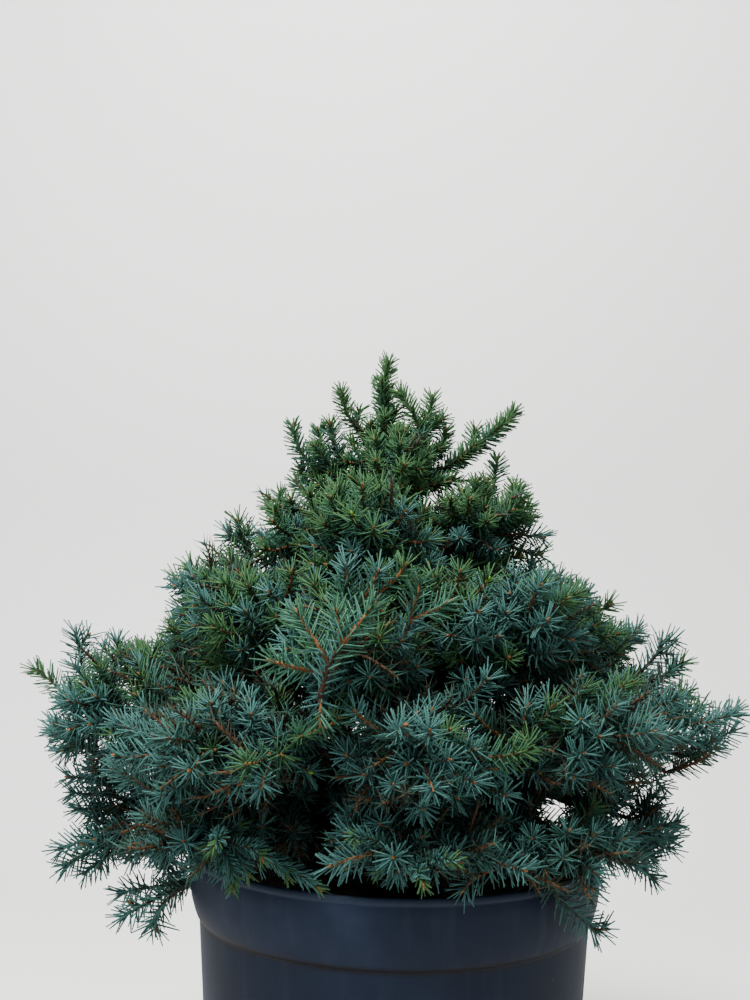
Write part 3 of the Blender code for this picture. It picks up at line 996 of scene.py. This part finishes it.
# The same for shoots on the crown's face, whose depth is that of the mass behind the pixel. The last
# number is how many degrees each one turns towards the camera
FACING_SHOOTS = (
    ("shoulder_left", ((264, 580, 268, 606, 35),)),
    ("shoulder_front_left", ((292, 572, 294, 600, 35), (318, 580, 318, 606, 45))),
    ("shoulder_front", ((346, 566, 346, 592, 35), (378, 572, 374, 600, 40), (405, 566, 404, 592, 40))),
    ("shoulder_front_right", ((434, 578, 432, 604, 40), (460, 572, 456, 600, 40),
        (488, 580, 480, 606, 40))),
    ("middle_front_left", ((302, 736, 304, 742, 78), (246, 764, 252, 786, 55),
        (310, 772, 296, 784, 60), (190, 770, 198, 778, 75), (262, 786, 260, 776, 70))),
    ("middle_left", ((136, 726, 196, 732, 10), (214, 712, 222, 730, 45))),
    ("middle_front", ((430, 730, 434, 740, 75), (433, 790, 432, 794, 82), (404, 726, 366, 736, 20))),
    ("middle_front_right", ((503, 764, 508, 772, 75), (528, 742, 552, 762, 35),
        (476, 716, 486, 742, 45), (528, 706, 520, 730, 40))),
    ("skirt_front", ((380, 824, 382, 826, 84), (330, 866, 376, 858, 15))),
    ("skirt_front_right", ((464, 889, 474, 862, 15), (470, 840, 476, 866, 40))),
    ("top_front", ((352, 478, 356, 498, 40), (376, 484, 376, 504, 50), (402, 487, 402, 506, 55))),
    ("top_left", ((320, 486, 326, 506, 35),)),
    ("top_right", ((418, 480, 414, 500, 40), (440, 484, 434, 506, 40))),
    ("upper_left", ((316, 518, 322, 540, 40), (300, 546, 306, 568, 45), (332, 540, 334, 562, 50))),
    ("upper_front", ((405, 512, 404, 532, 55), (352, 514, 354, 536, 45), (428, 540, 426, 562, 45),
        (352, 552, 354, 574, 50))),
    ("upper_right", ((470, 500, 464, 522, 40), (488, 522, 480, 544, 40), (460, 538, 456, 560, 45),
        (496, 550, 486, 570, 40))),
    ("upper_front", ((408, 590, 402, 620, 35), (374, 528, 376, 550, 40))),
    ("upper_right", ((450, 500, 450, 520, 50),)),
    ("top_left", ((370, 425, 368, 447, 25),)),
    ("top_leader", ((385, 417, 386, 438, 20),)),
    ("middle_front_left", ((339, 719, 330, 740, 45),)),
    ("middle_front", ((356, 712, 362, 736, 40),)),
    ("top_left", ((392, 446, 390, 466, 30), (346, 462, 350, 482, 35), (330, 474, 336, 494, 30))),
    ("top_front", ((376, 461, 376, 481, 35), (404, 466, 402, 486, 35))),
    ("top_right", ((404, 432, 404, 454, 30), (442, 447, 436, 468, 25), (426, 464, 422, 484, 35),
        (453, 480, 445, 502, 30))),
    ("upper_left", ((264, 549, 272, 571, 30),)),
    ("shoulder_front_right", ((540, 586, 502, 610, 25), (476, 640, 482, 660, 45))),
)

# Close-needled shoots that hang from the lowest tier, given in the same way
FINGER_SHOOTS = (
    ("skirt_front_left", ((213, 848, 241, 809, 25), (287, 876, 289, 822, 15), (233, 887, 243, 862, 20),
        (319, 888, 298, 873, 20), (262, 858, 264, 832, 30))),
    ("skirt_left", ((180, 848, 204, 816, 20), (160, 838, 190, 812, 15))),
    ("skirt_front", ((355, 840, 332, 816, 25), (423, 885, 412, 858, 25), (456, 862, 428, 855, 20))),
)


# How many of last year's shoots are deep green. The colour dealt to a new shoot: the least draw and its span,
# the weight and scale of a noise over its place, how far its height moves the draw, and up to which draw it
# has each colour
DEEP_SHARE = 0.7
DRAW_LEAST = 0.05
DRAW_SPAN = 0.90
DRAW_NOISE = 0.15
DRAW_SCALE = 15.0
# Lower down the draw leans to blue, so there part of the blue is painted shade light
DRAW_HEIGHTS = (0.24, 0.32, 0.38, 0.44, 0.48)
DRAW_SHIFTS = (-0.36, -0.11, 0.15, 0.20, 0.68)
DRAW_LIMITS = (("blue", 0.34), ("teal", 0.64), ("green", 1.02), ("bright", math.inf))


def needle_kind(rng):
    """Returns the rule that deals a colour to a shoot by its height, its age and chance."""

    def kind(place, age):
        if age in ("old", "finger"):
            return age
        if age == "last":
            return "deep" if rng.random() < DEEP_SHARE else "teal"
        by_height = float(np.interp(place.z, DRAW_HEIGHTS, DRAW_SHIFTS))
        draw = DRAW_LEAST + DRAW_SPAN * rng.random() + by_height
        draw += DRAW_NOISE * noise.noise(place * DRAW_SCALE)
        return next(name for name, limit in DRAW_LIMITS if draw < limit)

    return kind


def shoot_length(rng, place):
    return rng.uniform(*SHOOT_LENGTH) * (TOP_SCALE if place.z > TOP_HEIGHT else 1.0)


def spacing(place):
    """Room between the tips of sprays there: they stand closer towards the top."""
    return float(np.interp(place.z, SPACING_HEIGHTS, (SPRAY_SPACING, TOP_SPACING)))


def relief(place):
    """How much deeper than the rest a shoot may end there."""
    return float(np.interp(place.z, RELIEF_HEIGHTS, (RELIEF, TOP_RELIEF)))


def listed(groups):
    """Each row of those groups with its mass's name."""
    return [(name, row) for name, rows in groups for row in rows]


def photo_sprays(masses):
    """Tip, direction, length and age of each shoot named above, by mass."""
    by_name = {mass.name: mass for mass in masses}
    back = AXES[2]
    for name, (*pixels, forward) in listed(OUTLINE_SHOOTS):
        tip, foot = pixels[:2], pixels[2:]
        high, low = seen_at(*tip, -forward), seen_at(*foot, -forward)
        yield by_name["foliage_" + name], high, (high - low).normalized(), (high - low).length, "new"
    facing_rows = [(row, "finger") for row in listed(FINGER_SHOOTS)]
    facing_rows += [(row, "new") for row in listed(FACING_SHOOTS)]
    for (name, (*pixels, facing)), age in facing_rows:
        tip, foot = pixels[:2], pixels[2:]
        mass = by_name["foliage_" + name]
        hit = mass.tree.ray_cast(EYE, sight(*tip))
        depth = hit[0].y - FACING_GAP[age] if hit[0] else mass.centre.y - mass.radius * 0.6
        high, low = seen_at(*tip, depth), seen_at(*foot, depth)
        across = high - low
        lean = math.radians(facing)
        way = (across.normalized() * math.cos(lean) + back * math.sin(lean)).normalized()
        yield mass, high, way, max(across.length / max(math.cos(lean), 0.3), SHORTEST_FACING), age


def grow(masses, line):
    """Grows the whole crown and returns the tree."""
    tree = Tree(masses)
    rng = tree.random
    kind = needle_kind(rng)
    leaders = []
    for mass in masses:
        bough = mass.name.replace("foliage_", "bough_")
        if bough in NODES:
            root = tree.bough(mass, *bough_line(bough, line))
            way = root.way
        else:
            drop = max(0.02, math.hypot(mass.centre.x, mass.centre.y) * 0.75)
            place, _ = on_trunk(line, min(mass.centre.z - drop, line[-1][0].z - 0.03))
            way = ((mass.centre - place).normalized() + UP * 0.4).normalized()
            root = Node(place, None, way)
        leaders.append((mass, *tree.limb(mass, root, way)))
    spots = []
    by_name = {mass.name: mass for mass in masses}
    for name, forward, limb_pixels, side_pixels in DRAWN_LIMBS:
        through = [seen_at(*pixel, -forward) for pixel in limb_pixels]
        sides = [seen_at(*pixel, -forward) for pixel in side_pixels]
        tree.drawn(by_name["foliage_" + name], through, sides, kind)
        if forward > FRONT_LIMB:
            tree.keep_clear(through + sides)
        spots += through[-1:] + sides
    for mass, tip, way, length, age in photo_sprays(masses):
        side_count = 0 if age == "finger" else rng.choice((1, 2))
        tree.spray(mass, tip, way, length, kind, side_count, age, named=True)
        if age == "new" and way.dot(AXES[2]) > LIT_TURN:
            tree.lit.append(tip)
        spots.append(tip)
        if age == "finger":
            spots.append(tip - way * length)
    for mass, tip, aim in leaders:
        if all((tip - p).length > SPRAY_SPACING * LEADER_ROOM for p in spots):
            length = shoot_length(rng, tip)
            if tree.spray(mass, tip, (aim + UP * 0.2).normalized(), length, kind, 3):
                spots.append(tip)
    cover(tree, spots, kind)
    bridge(tree, spots, kind)
    fill_inside(tree)
    return tree


def hits(masses, point, way, reach):
    """Whether a mass lies that way within reach."""
    for mass in masses:
        if (mass.centre - point).length < mass.radius + reach and mass.tree.ray_cast(point, way, reach)[0]:
            return True
    return False


def bridge(tree, spots, kind):
    """Sprays that close the clefts between neighbouring masses, the outermost first."""
    rng = tree.random
    points = []
    for _ in range(BRIDGE_TRIES):
        height = rng.uniform(*BRIDGE_HEIGHTS)
        turn = rng.uniform(0.0, math.tau)
        reach = rng.uniform(*BRIDGE_REACH)
        point = Vector((reach * math.cos(turn), reach * math.sin(turn), height))
        if not BRIDGE_GAP[0] < outside_all(tree.masses, point) < BRIDGE_GAP[1]:
            continue
        level = Vector((math.cos(turn), math.sin(turn), 0.0))
        aside = level.cross(UP)
        stacked = hits(tree.masses, point, UP, CLEFT) and hits(tree.masses, point, -UP, CLEFT)
        abreast = hits(tree.masses, point, aside, CLEFT) and hits(tree.masses, point, -aside, CLEFT)
        if (stacked or abreast) and not hits(tree.masses, point, level, 0.3):
            points.append((reach, point, level))
    points.sort(key=lambda row: -row[0])
    for _, point, level in points:
        if any((point - p).length < spacing(point) * BRIDGE_ROOM for p in spots):
            continue
        near = nearest_mass(tree.masses, point)
        way = shoot_way(near, point, level, rng)
        length = shoot_length(rng, point)
        if tree.spray(near, point, way, length, kind, rng.choice((2, 3))):
            spots.append(point)


def nearest_mass(masses, point):
    return min(masses, key=lambda m: (m.centre - point).length - m.radius)


def sheltered(masses, point):
    """Whether the crown lies further out than that point, at its height."""
    level = Vector((point.x, point.y, 0.0)).normalized()
    for mass in masses:
        if level.dot(mass.centre - point) > -mass.radius and mass.tree.ray_cast(point, level)[0]:
            return True
    return False


def fill_inside(tree):
    """Shaded shoots in the depth of the crown, also between the masses."""
    rng = tree.random

    def kind(place, age):
        return "deep" if rng.random() < INNER_GREEN else "old"

    for _ in range(INNER_TRIES):
        radius = INNER_RADIUS * math.sqrt(rng.random())
        turn = rng.uniform(0.0, math.tau)
        height = rng.uniform(*INNER_HEIGHTS)
        point = Vector((radius * math.cos(turn), radius * math.sin(turn), height))
        if radius < CORE_RADIUS or tree.grid.nearest(point) < INNER_ROOM or not sheltered(tree.masses, point):
            continue
        near = nearest_mass(tree.masses, point)
        out = Vector((math.cos(turn), math.sin(turn), 0.0))
        way = (out + UP * rng.uniform(*INNER_RISE) + spherical_random(rng) * INNER_STRAY).normalized()
        tree.spray(near, point + way * INNER_REACH, way, INNER_LENGTH, kind, 1, "inner")


def exposed(masses, mass, point, normal):
    """Whether the crown is open outside that point of the mass."""
    out = point + normal * PROBE
    for other in masses:
        if other is not mass and (out - other.centre).length < other.radius:
            if other.outside(out) < 0.0:
                return False
    axis = Vector((0.0, 0.0, point.z - 0.05))
    return normal.dot((point - axis).normalized()) > LEAST_OUTWARD


def shoot_way(mass, point, normal, rng):
    """The way a shoot grows at that place: away from the trunk, and steeper the higher it stands."""
    reach = math.hypot(point.x, point.y)
    level = Vector((point.x, point.y, 0.0)) / max(reach, 0.045)
    heights, rises = zip(*SHOOT_RISE)
    rise = float(np.interp(point.z, heights, rises))
    growth = (point - mass.nodes[0].place).normalized()
    way = level * OUTWARDS + UP * rise + normal * OFF_SURFACE + growth * ONWARDS
    way += spherical_random(rng) * WAY_STRAY
    return way.normalized()


def cover(tree, spots, kind):
    """Sprays over all the open surface, then single shoots wherever it still shows through."""
    picker = np.random.default_rng(SEED)
    rng = tree.random
    candidates = []
    for mass in tree.masses:
        points, normals = mass.surface_points(picker, SURFACE_TRIES)
        for p, n in zip(points, normals):
            candidates.append((mass, Vector(p), Vector(n)))
    picker.shuffle(candidates)
    opened = [c for c in candidates if exposed(tree.masses, *c)]
    for mass, point, normal in opened:
        if any((point - p).length < spacing(point) for p in spots):
            continue
        way = shoot_way(mass, point, normal, rng)
        length = shoot_length(rng, point)
        tip = point - normal * rng.uniform(INSET, INSET + relief(point))
        if tree.spray(mass, tip, way, length, kind, rng.choice((2, 3, 3, 4))):
            spots.append(point)
    for _ in range(FILL_ROUNDS):
        for mass, point, normal in opened[::FILL_SKIP]:
            inner = point - normal * relief(point) * FILL_DEPTH
            if tree.grid.nearest(inner) < FILL_REACH:
                continue
            tree.spray(mass, inner, shoot_way(mass, inner, normal, rng), FILL_LENGTH, kind, 0)


# Needles


def needles_on(points, age, kind, rng):
    """Bases, directions, lengths, the shoot's own way and the tone of each needle on one shoot."""
    path = np.array([tuple(p) for p in points])
    along = np.concatenate([[0.0], np.cumsum(np.linalg.norm(np.diff(path, axis=0), axis=1))])
    high_up = path[0, 2] > TOP_HEIGHT and age != "inner"
    count = int(along[-1] * NEEDLES_PER_METRE[age] * (TOP_DENSITY if high_up else 1.0))
    if count < 3:
        return None
    t = np.linspace(0.0, 1.0, count)
    if age == "new":
        t = FIRST_NEEDLE + (1.0 - FIRST_NEEDLE) * (1.0 - (1.0 - t) ** CROWDING)
    at = np.clip(t + rng.normal(0.0, PLACE_SPREAD / count, count), 0.0, 1.0) * along[-1]

    def there(field):
        return np.stack([np.interp(at, along, field[:, k]) for k in range(3)], 1)

    w, a, b = (there(field) for field in frames_along(path))
    roll = np.arange(count) * GOLDEN_ANGLE + rng.normal(0.0, TURN_SPREAD, count)
    side = a * np.cos(roll)[:, None] + b * np.sin(roll)[:, None]
    low, high = NEEDLE_ANGLES[age]
    tilt = low + (high - low) * t**ANGLE_POWER + rng.normal(0.0, ANGLE_SPREAD, count)
    if age == "new":
        tuft = np.clip((t - TUFT_START) / TUFT_SPAN, 0.0, 1.0)
        tilt = tilt * (1.0 - tuft * rng.uniform(*TUFT_CLOSING, count))
    tilt = np.radians(tilt)[:, None]
    out = w * np.cos(tilt) + side * np.sin(tilt)
    out[:, 2] += NEEDLE_RISE * (1.0 - np.abs(w[:, 2]))
    out /= np.linalg.norm(out, axis=1, keepdims=True)
    full = NEEDLE_LENGTH * (TOP_NEEDLES if path[0, 2] > TOP_HEIGHT else 1.0) * NEEDLE_SHARES[age]
    wave = np.sin(math.pi * np.clip(t, *WAVE_ENDS))
    length = full * rng.normal(1.0, SIZE_SPREAD, count) * (SHORT_NEEDLES + LONGER_NEEDLES * wave)
    tones = np.array([TONES.index(name) for name in NEEDLE_TONES[kind]])
    mixed = t + rng.normal(0.0, TONE_SPREAD, count)
    low, high = TONE_SHARES
    tone = tones[np.where(mixed < low, 0, np.where(mixed > high, 2, 1))]
    return there(path), out, length, w, tone


def needle_mesh(base, out, length, way, rng, fine):
    """Three-sided needles that lean on along the shoot: fine ones have a blunt end, the others a point."""
    count = len(base)
    helper = np.where(np.abs(out[:, 2:3]) < 0.9, [[0.0, 0.0, 1.0]], [[1.0, 0.0, 0.0]])
    u = np.cross(out, helper)
    u /= np.linalg.norm(u, axis=1, keepdims=True)
    v = np.cross(out, u)
    spin = rng.uniform(0.0, math.tau, count)
    width = NEEDLE_RADIUS * rng.normal(1.0, SIZE_SPREAD, count)
    bend = way * NEEDLE_LEAN + np.array([0.0, 0.0, NEEDLE_LIFT])
    places = np.empty((count, 6 if fine else 4, 3))
    end = base + (out + bend) * length[:, None]
    for k in range(3):
        turn = spin + k * math.tau / 3
        ring = u * np.cos(turn)[:, None] + v * np.sin(turn)[:, None]
        places[:, k] = base + ring * width[:, None]
        if fine:
            places[:, 3 + k] = end + ring * (width * BLUNT_END)[:, None]
    if not fine:
        places[:, 3] = end
    pattern = [(3, 4, 5)] if fine else []
    for k in range(3):
        n = (k + 1) % 3
        pattern += [(k, n, 3 + n), (k, 3 + n, 3 + k)] if fine else [(k, n, 3)]
    offsets = np.arange(count) * places.shape[1]
    faces = (np.array(pattern)[None] + offsets[:, None, None]).reshape(-1, 3)
    return places.reshape(-1, 3), faces


def add_needles(tree):
    """Every needle, in pieces by colour."""
    rng = np.random.default_rng(SEED + 1)
    looks = [material("needle_" + name, NEEDLE_COLOURS[name], 0.50, 0.10)[0] for name in TONES]
    rows = {True: [], False: []}
    for points, age, kind in tree.shoots:
        row = needles_on(points, age, kind, rng)
        if row:
            rows[age in YOUNG].append(row)
    parts = [[] for _ in TONES]
    for fine, group in rows.items():
        base, out, length, way, tone = (np.concatenate(column) for column in zip(*group))
        for i in range(len(TONES)):
            own = tone == i
            if own.any():
                parts[i].append(needle_mesh(base[own], out[own], length[own], way[own], rng, fine))
    pieces = []
    for name, look, part in zip(TONES, looks, parts):
        places, faces = joined(part)
        for number, share in enumerate(np.array_split(faces, math.ceil(len(faces) / MOST_TRIANGLES))):
            low, high = share.min(), share.max() + 1
            pieces.append(mesh_piece(f"needles_{name}_{number + 1}", places[low:high], share - low, look))
    return pieces


def hand_in(piece, slot, *nodes):
    """Rides the piece on the plant's one body in place of those nodes, which it hides. The slot is not used.
    """
    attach(piece, "root")
    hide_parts(*nodes)


def bark_pieces(rows):
    """A piece of each row: its name and parts, then its bark's name, dark and light, grain and depth."""
    pieces = []
    for name, parts, bark, dark, light, grain, depth in rows:
        pieces.append(mesh_piece(name, *joined(parts), bark_material(bark, (dark, light), grain, depth)))
    return pieces


def add_twigs(tree):
    """All twigs in three pieces: the young ones, those of them that the photograph shows near and lit, and
    the older wood."""
    young, near, old = [], [], []
    for path, radii in tree.chains():
        lit = any((path[-1] - tip).length < LIT_REACH for tip in tree.lit)
        points = np.array([tuple(p) for p in path])
        radii = np.array(radii)
        radii[-1] *= TWIG_END
        split = int((radii > TWIG_RADIUS * OLDER_GIRTH).sum())
        if split >= 2:
            old.append(tube(points[: split + 1], radii[: split + 1], 6))
        thin = sorted({max(split - 1, 0), *range(len(points) - 1, max(split - 1, 0), -2)})
        if len(thin) >= 2 and lit:
            near.append(tube(points[thin], radii[thin] * LIT_GIRTH, 4))
        elif len(thin) >= 2:
            young.append(tube(points[thin], radii[thin], 4))
    young_ends = (0.30, (0.040, 0.021, 0.011)), (0.70, (0.104, 0.053, 0.027))
    # The near, lit twigs' bark is a lighter copy of the young bark: painted light.
    lit_painted_bark_ends = (0.30, (0.100, 0.043, 0.018)), (0.70, (0.215, 0.098, 0.042))
    old_ends = (0.30, (0.020, 0.012, 0.008)), (0.70, (0.060, 0.034, 0.021))
    return bark_pieces((
        ("twigs_young", young, "young_bark", *young_ends, 900.0, 0.0001),
        ("twigs_near", near, "near_bark", *lit_painted_bark_ends, 900.0, 0.0001),
        ("twigs_older", old, "older_bark", *old_ends, 500.0, 0.0003),
    ))


def add_buds(tree):
    """A scaly bud at the end of each new shoot, a few of them fresh and green."""
    rng = np.random.default_rng(SEED + 2)
    brown, fresh = [], []
    for points, age, _ in tree.shoots:
        if age not in YOUNG:
            continue
        end, way = points[-1], (points[-1] - points[-2]).normalized()
        size = rng.uniform(*BUD_RADIUS)
        path = [end - way * size, end + way * size * 0.3, end + way * size * 2.2]
        radii = [size * 0.75, size, size * 0.25]
        bud = tube(np.array([tuple(p) for p in path]), radii, 4)
        (fresh if rng.random() < FRESH_SHARE else brown).append(bud)
    brown_ends = (0.35, (0.10, 0.044, 0.018)), (0.65, (0.20, 0.095, 0.040))
    fresh_ends = (0.35, (0.12, 0.20, 0.03)), (0.65, (0.22, 0.30, 0.06))
    return bark_pieces((
        ("buds", brown, "bud", *brown_ends, 1500.0, 0.0001),
        ("buds_fresh", fresh, "fresh_bud", *fresh_ends, 1500.0, 0.0001),
    ))


# Trunk and boughs


def add_bark(tree, line):
    """The trunk with its root flare, and the boughs, as one mesh with the bark's relief."""
    ring_gap, trunk_sides, bough_sides, flare = 0.003, 28, 12, 0.022
    foot, top = line[0][0].z - 0.002, line[-1][0].z
    heights = np.arange(foot, top, ring_gap)
    path, radii = zip(*(on_trunk(line, h) for h in heights))
    path = [Vector((p.x, p.y, h)) for p, h in zip(path, heights)]
    places, faces = limb(path, radii, trunk_sides, BARK_RELIEF)
    for p in places[: trunk_sides * 8]:
        low = max(0.0, 1.0 - (p[2] - foot) / flare)
        lobe = 1.0 + 0.16 * low * math.cos(5.0 * math.atan2(p[1], p[0]))
        p[:2] = path[0][:2] + (p[:2] - path[0][:2]) * lobe
    parts = [(places, faces)]
    for fine, sizes in tree.boughs:
        fine, sizes = smooth_line(fine, sizes, 0.002)
        sizes = [r * (1.0 + 0.55 * math.exp(-max(0, i - 5) / 3.5)) for i, r in enumerate(sizes)]
        parts.append(limb(fine, sizes, bough_sides, BARK_RELIEF))
    dark, light = (0.30, (0.030, 0.020, 0.014)), (0.70, (0.105, 0.068, 0.045))
    bark = bark_pieces((("bark", parts, "bark", dark, light, 300.0, 0.0005),))[0]
    hand_in(bark, "bark", "trunk", *BOUGHS)


# Pot and potting mix


def lathe(name, profile, steps, look):
    """A surface of revolution from closed (radius, height) points."""
    profile = np.array(profile)
    turns = np.arange(steps) * math.tau / steps
    places = np.empty((steps, len(profile), 3))
    places[:, :, 0] = np.cos(turns)[:, None] * profile[:, 0]
    places[:, :, 1] = np.sin(turns)[:, None] * profile[:, 0]
    places[:, :, 2] = profile[:, 1]
    rows, cols = np.meshgrid(np.arange(steps), np.arange(len(profile) - 1), indexing="ij")
    a = rows * len(profile) + cols
    b = (rows + 1) % steps * len(profile) + cols
    faces = np.stack([a, a + 1, b + 1, b], -1).reshape(-1, 4)
    return mesh_piece(name, places.reshape(-1, 3), faces, look)


def pot_material(top):
    """Dark blue-grey plastic: a painted highlight on the lip, a dark line under the collar that is dirt with
    painted shade in the step, faint streaks and some specks.
    """
    made, tree, shader = material("pot_plastic", (0.018, 0.024, 0.034), 0.6, 0.2)
    black, white = (0.0, 0.0, 0.0), (1.0, 1.0, 1.0)

    def patches(scale, low, high, upright=1.0):
        return noise_ramp(tree, scale, 3.0, ((low, black), (high, white)), upright)[0].outputs["Color"]

    shades = (0.30, (0.005, 0.008, 0.018)), (0.58, (0.008, 0.013, 0.028)), (0.76, (0.018, 0.026, 0.050))
    base, _ = noise_ramp(tree, 9.0, 8.0, shades)
    place = tree.nodes.new("ShaderNodeTexCoord")
    split = tree.nodes.new("ShaderNodeSeparateXYZ")
    tree.links.new(place.outputs["Object"], split.inputs[0])
    height = split.outputs["Z"]
    streaks = sum_of(tree, "MULTIPLY", patches(110.0, 0.52, 0.74, 0.05), 0.22)
    colour = blend(tree, base.outputs["Color"], (0.030, 0.042, 0.062), streaks)
    # The paler band round the top of the lip is a painted highlight along the rim's edge.
    painted_lip_highlight = sum_of(tree, "MULTIPLY", sum_of(tree, "GREATER_THAN", height, top - 0.0040), 0.30)
    colour = blend(tree, colour, (0.030, 0.040, 0.056), painted_lip_highlight)
    # The dark line under the collar is dirt and painted shade in the step under it: a thin line and a
    # broader, broken band.
    gap = sum_of(tree, "ABSOLUTE", sum_of(tree, "SUBTRACT", height, top - COLLAR - 0.0004))
    for reach, strength, broken in ((0.0034, 0.95, (8.0, 0.20, 0.40)), (0.0080, 0.80, (14.0, 0.50, 0.66))):
        near = sum_of(tree, "MAXIMUM", sum_of(tree, "SUBTRACT", 1.0, sum_of(tree, "DIVIDE", gap, reach)), 0.0)
        mask = sum_of(tree, "MULTIPLY", sum_of(tree, "MULTIPLY", near, strength), patches(*broken))
        colour = blend(tree, colour, (0.008, 0.005, 0.005), mask)
    colour = blend(tree, colour, (0.16, 0.17, 0.19), patches(430.0, 0.745, 0.77))
    tree.links.new(colour, shader.inputs["Base Color"])
    return made


def add_pot():
    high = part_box("pot")[1]
    rim, top, foot, drop = high.x, high.z, 0.118, 0.0030
    wall, under = rim - 0.0077, top - COLLAR - drop
    # In from the rim and down from the top: the lip, the collar's crown, its slope in, and the step under it
    outline = (
        (0.0030, 0.0002), (0.0012, 0.0), (0.0002, 0.0010), (0.0, 0.0026), (0.0, 0.0040), (0.0006, 0.0045),
        (0.0002, 0.0054), (0.0001, 0.012), (0.0007, 0.022), (0.0020, 0.0300), (0.0038, 0.0362),
        (0.0050, 0.0396), (0.0056, 0.0409), (0.0064, COLLAR), (0.0076, COLLAR + 0.0001),
        (0.0077, COLLAR + drop),
    )
    profile = [(rim - inward, top - down) for inward, down in outline]
    profile += [(wall + (foot - wall) * s, under * (1 - s) + 0.004 * s) for s in (0.25, 0.5, 0.75, 1.0)]
    profile += [(foot - 0.0010, 0.0012), (foot - 0.0030, 0.0), (0.02, 0.0), (0.02, 0.003)]
    profile += [(foot - 0.005, 0.003), (wall - 0.0030, under), (rim - 0.0030, top - 0.020), profile[0]]
    hand_in(lathe("pot_shell", profile, 160, pot_material(top)), "pot_plastic", "pot")


def add_soil():
    look = bark_material("mix", ((0.35, (0.012, 0.009, 0.007)), (0.65, (0.060, 0.042, 0.030))), 400.0, 0.001)
    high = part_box("potting_mix")[1]
    radius, top = high.x - 0.0005, high.z
    rings, steps = 60, 160
    r = radius * np.sqrt(np.linspace(0.0, 1.0, rings))
    turns = np.arange(steps) * math.tau / steps
    places = np.empty((rings, steps, 3))
    places[..., 0] = r[:, None] * np.cos(turns)
    places[..., 1] = r[:, None] * np.sin(turns)
    for i in range(rings):
        for j in range(steps):
            x, y = places[i, j, :2]
            lumps = noise.noise(Vector((x * 90.0, y * 90.0, 3.0)))
            crumbs = noise.noise(Vector((x * 260.0, y * 260.0, 7.0)))
            places[i, j, 2] = top - 0.002 + 0.0018 * (lumps + 0.6 * crumbs)
    a = (np.arange(rings - 1)[:, None] * steps + np.arange(steps)).ravel()
    b = (np.arange(rings - 1)[:, None] * steps + (np.arange(steps) + 1) % steps).ravel()
    faces = np.stack([a, b, b + steps, a + steps], -1)
    soil = mesh_piece("potting_mix_surface", places.reshape(-1, 3), faces, look)
    hand_in(soil, "potting_mix", "potting_mix")


# Stage


def add_stage():
    """A pale floor that sweeps up behind the plant."""
    look, _, _ = material("stage", (0.62, 0.62, 0.61), 0.9, 0.2)
    back, bend, tall, wide = 1.3, 0.6, 3.2, 4.0
    outline = [(-3.0, 0.0), (back - bend, 0.0)]
    for i in range(1, 13):
        turn = math.pi / 2 * i / 12
        outline.append((back - bend + bend * math.sin(turn), bend - bend * math.cos(turn)))
    outline.append((back, tall))
    places, faces = [], []
    for y, z in outline:
        places += [(-wide, y, z - 0.0005), (wide, y, z - 0.0005)]
    for i in range(len(outline) - 1):
        faces.append((2 * i, 2 * i + 1, 2 * i + 3, 2 * i + 2))
    stage = mesh_piece("stage", np.array(places), np.array(faces), look)


# Each light's place, what it aims at, its size and power, and its colour
LIGHTS = {
    "key": ((-0.50, -1.0, 2.15), (0.0, 0.0, 0.33), 0.9, 111.0, (1.0, 0.99, 0.95)),
    "fill": ((1.2, -1.8, 0.8), (0.0, 0.0, 0.3), 2.4, 17.0, (0.96, 1.0, 0.94)),
    "shade": ((-1.5, -1.6, 0.45), (0.0, 0.0, 0.25), 2.2, 22.0, (0.72, 0.87, 1.0)),
    "backdrop": ((0.0, 0.3, 2.4), (0.0, 1.3, 0.8), 2.0, 40.0, (1.0, 1.0, 1.0)),
}
SKY, SKY_STRENGTH = (0.80, 0.88, 1.0), 0.22


def add_lights():
    world = bpy.data.worlds.new("world")
    world.use_nodes = True
    background = world.node_tree.nodes["Background"]
    background.inputs["Color"].default_value = (*SKY, 1.0)
    background.inputs["Strength"].default_value = SKY_STRENGTH
    bpy.context.scene.world = world
    for name, (place, aim, size, power, colour) in LIGHTS.items():
        data = bpy.data.lights.new(name, "AREA")
        data.shape = "DISK"
        data.size, data.energy, data.color = size, power, colour
        light = bpy.data.objects.new(name, data)
        light.location = place
        light.rotation_euler = (Vector(aim) - Vector(place)).to_track_quat("-Z", "Y").to_euler()
        bpy.context.scene.collection.objects.link(light)


def main():
    add_camera()
    add_stage()
    add_lights()
    add_pot()
    add_soil()
    line = trunk_line()
    tree = grow([Mass(name) for name in FOLIAGE], line)
    tree.radii()
    add_bark(tree, line)
    for piece in add_needles(tree):
        hand_in(piece, "needles", *FOLIAGE)
    for piece in add_twigs(tree) + add_buds(tree):
        hand_in(piece, "bark", *FOLIAGE)


main()
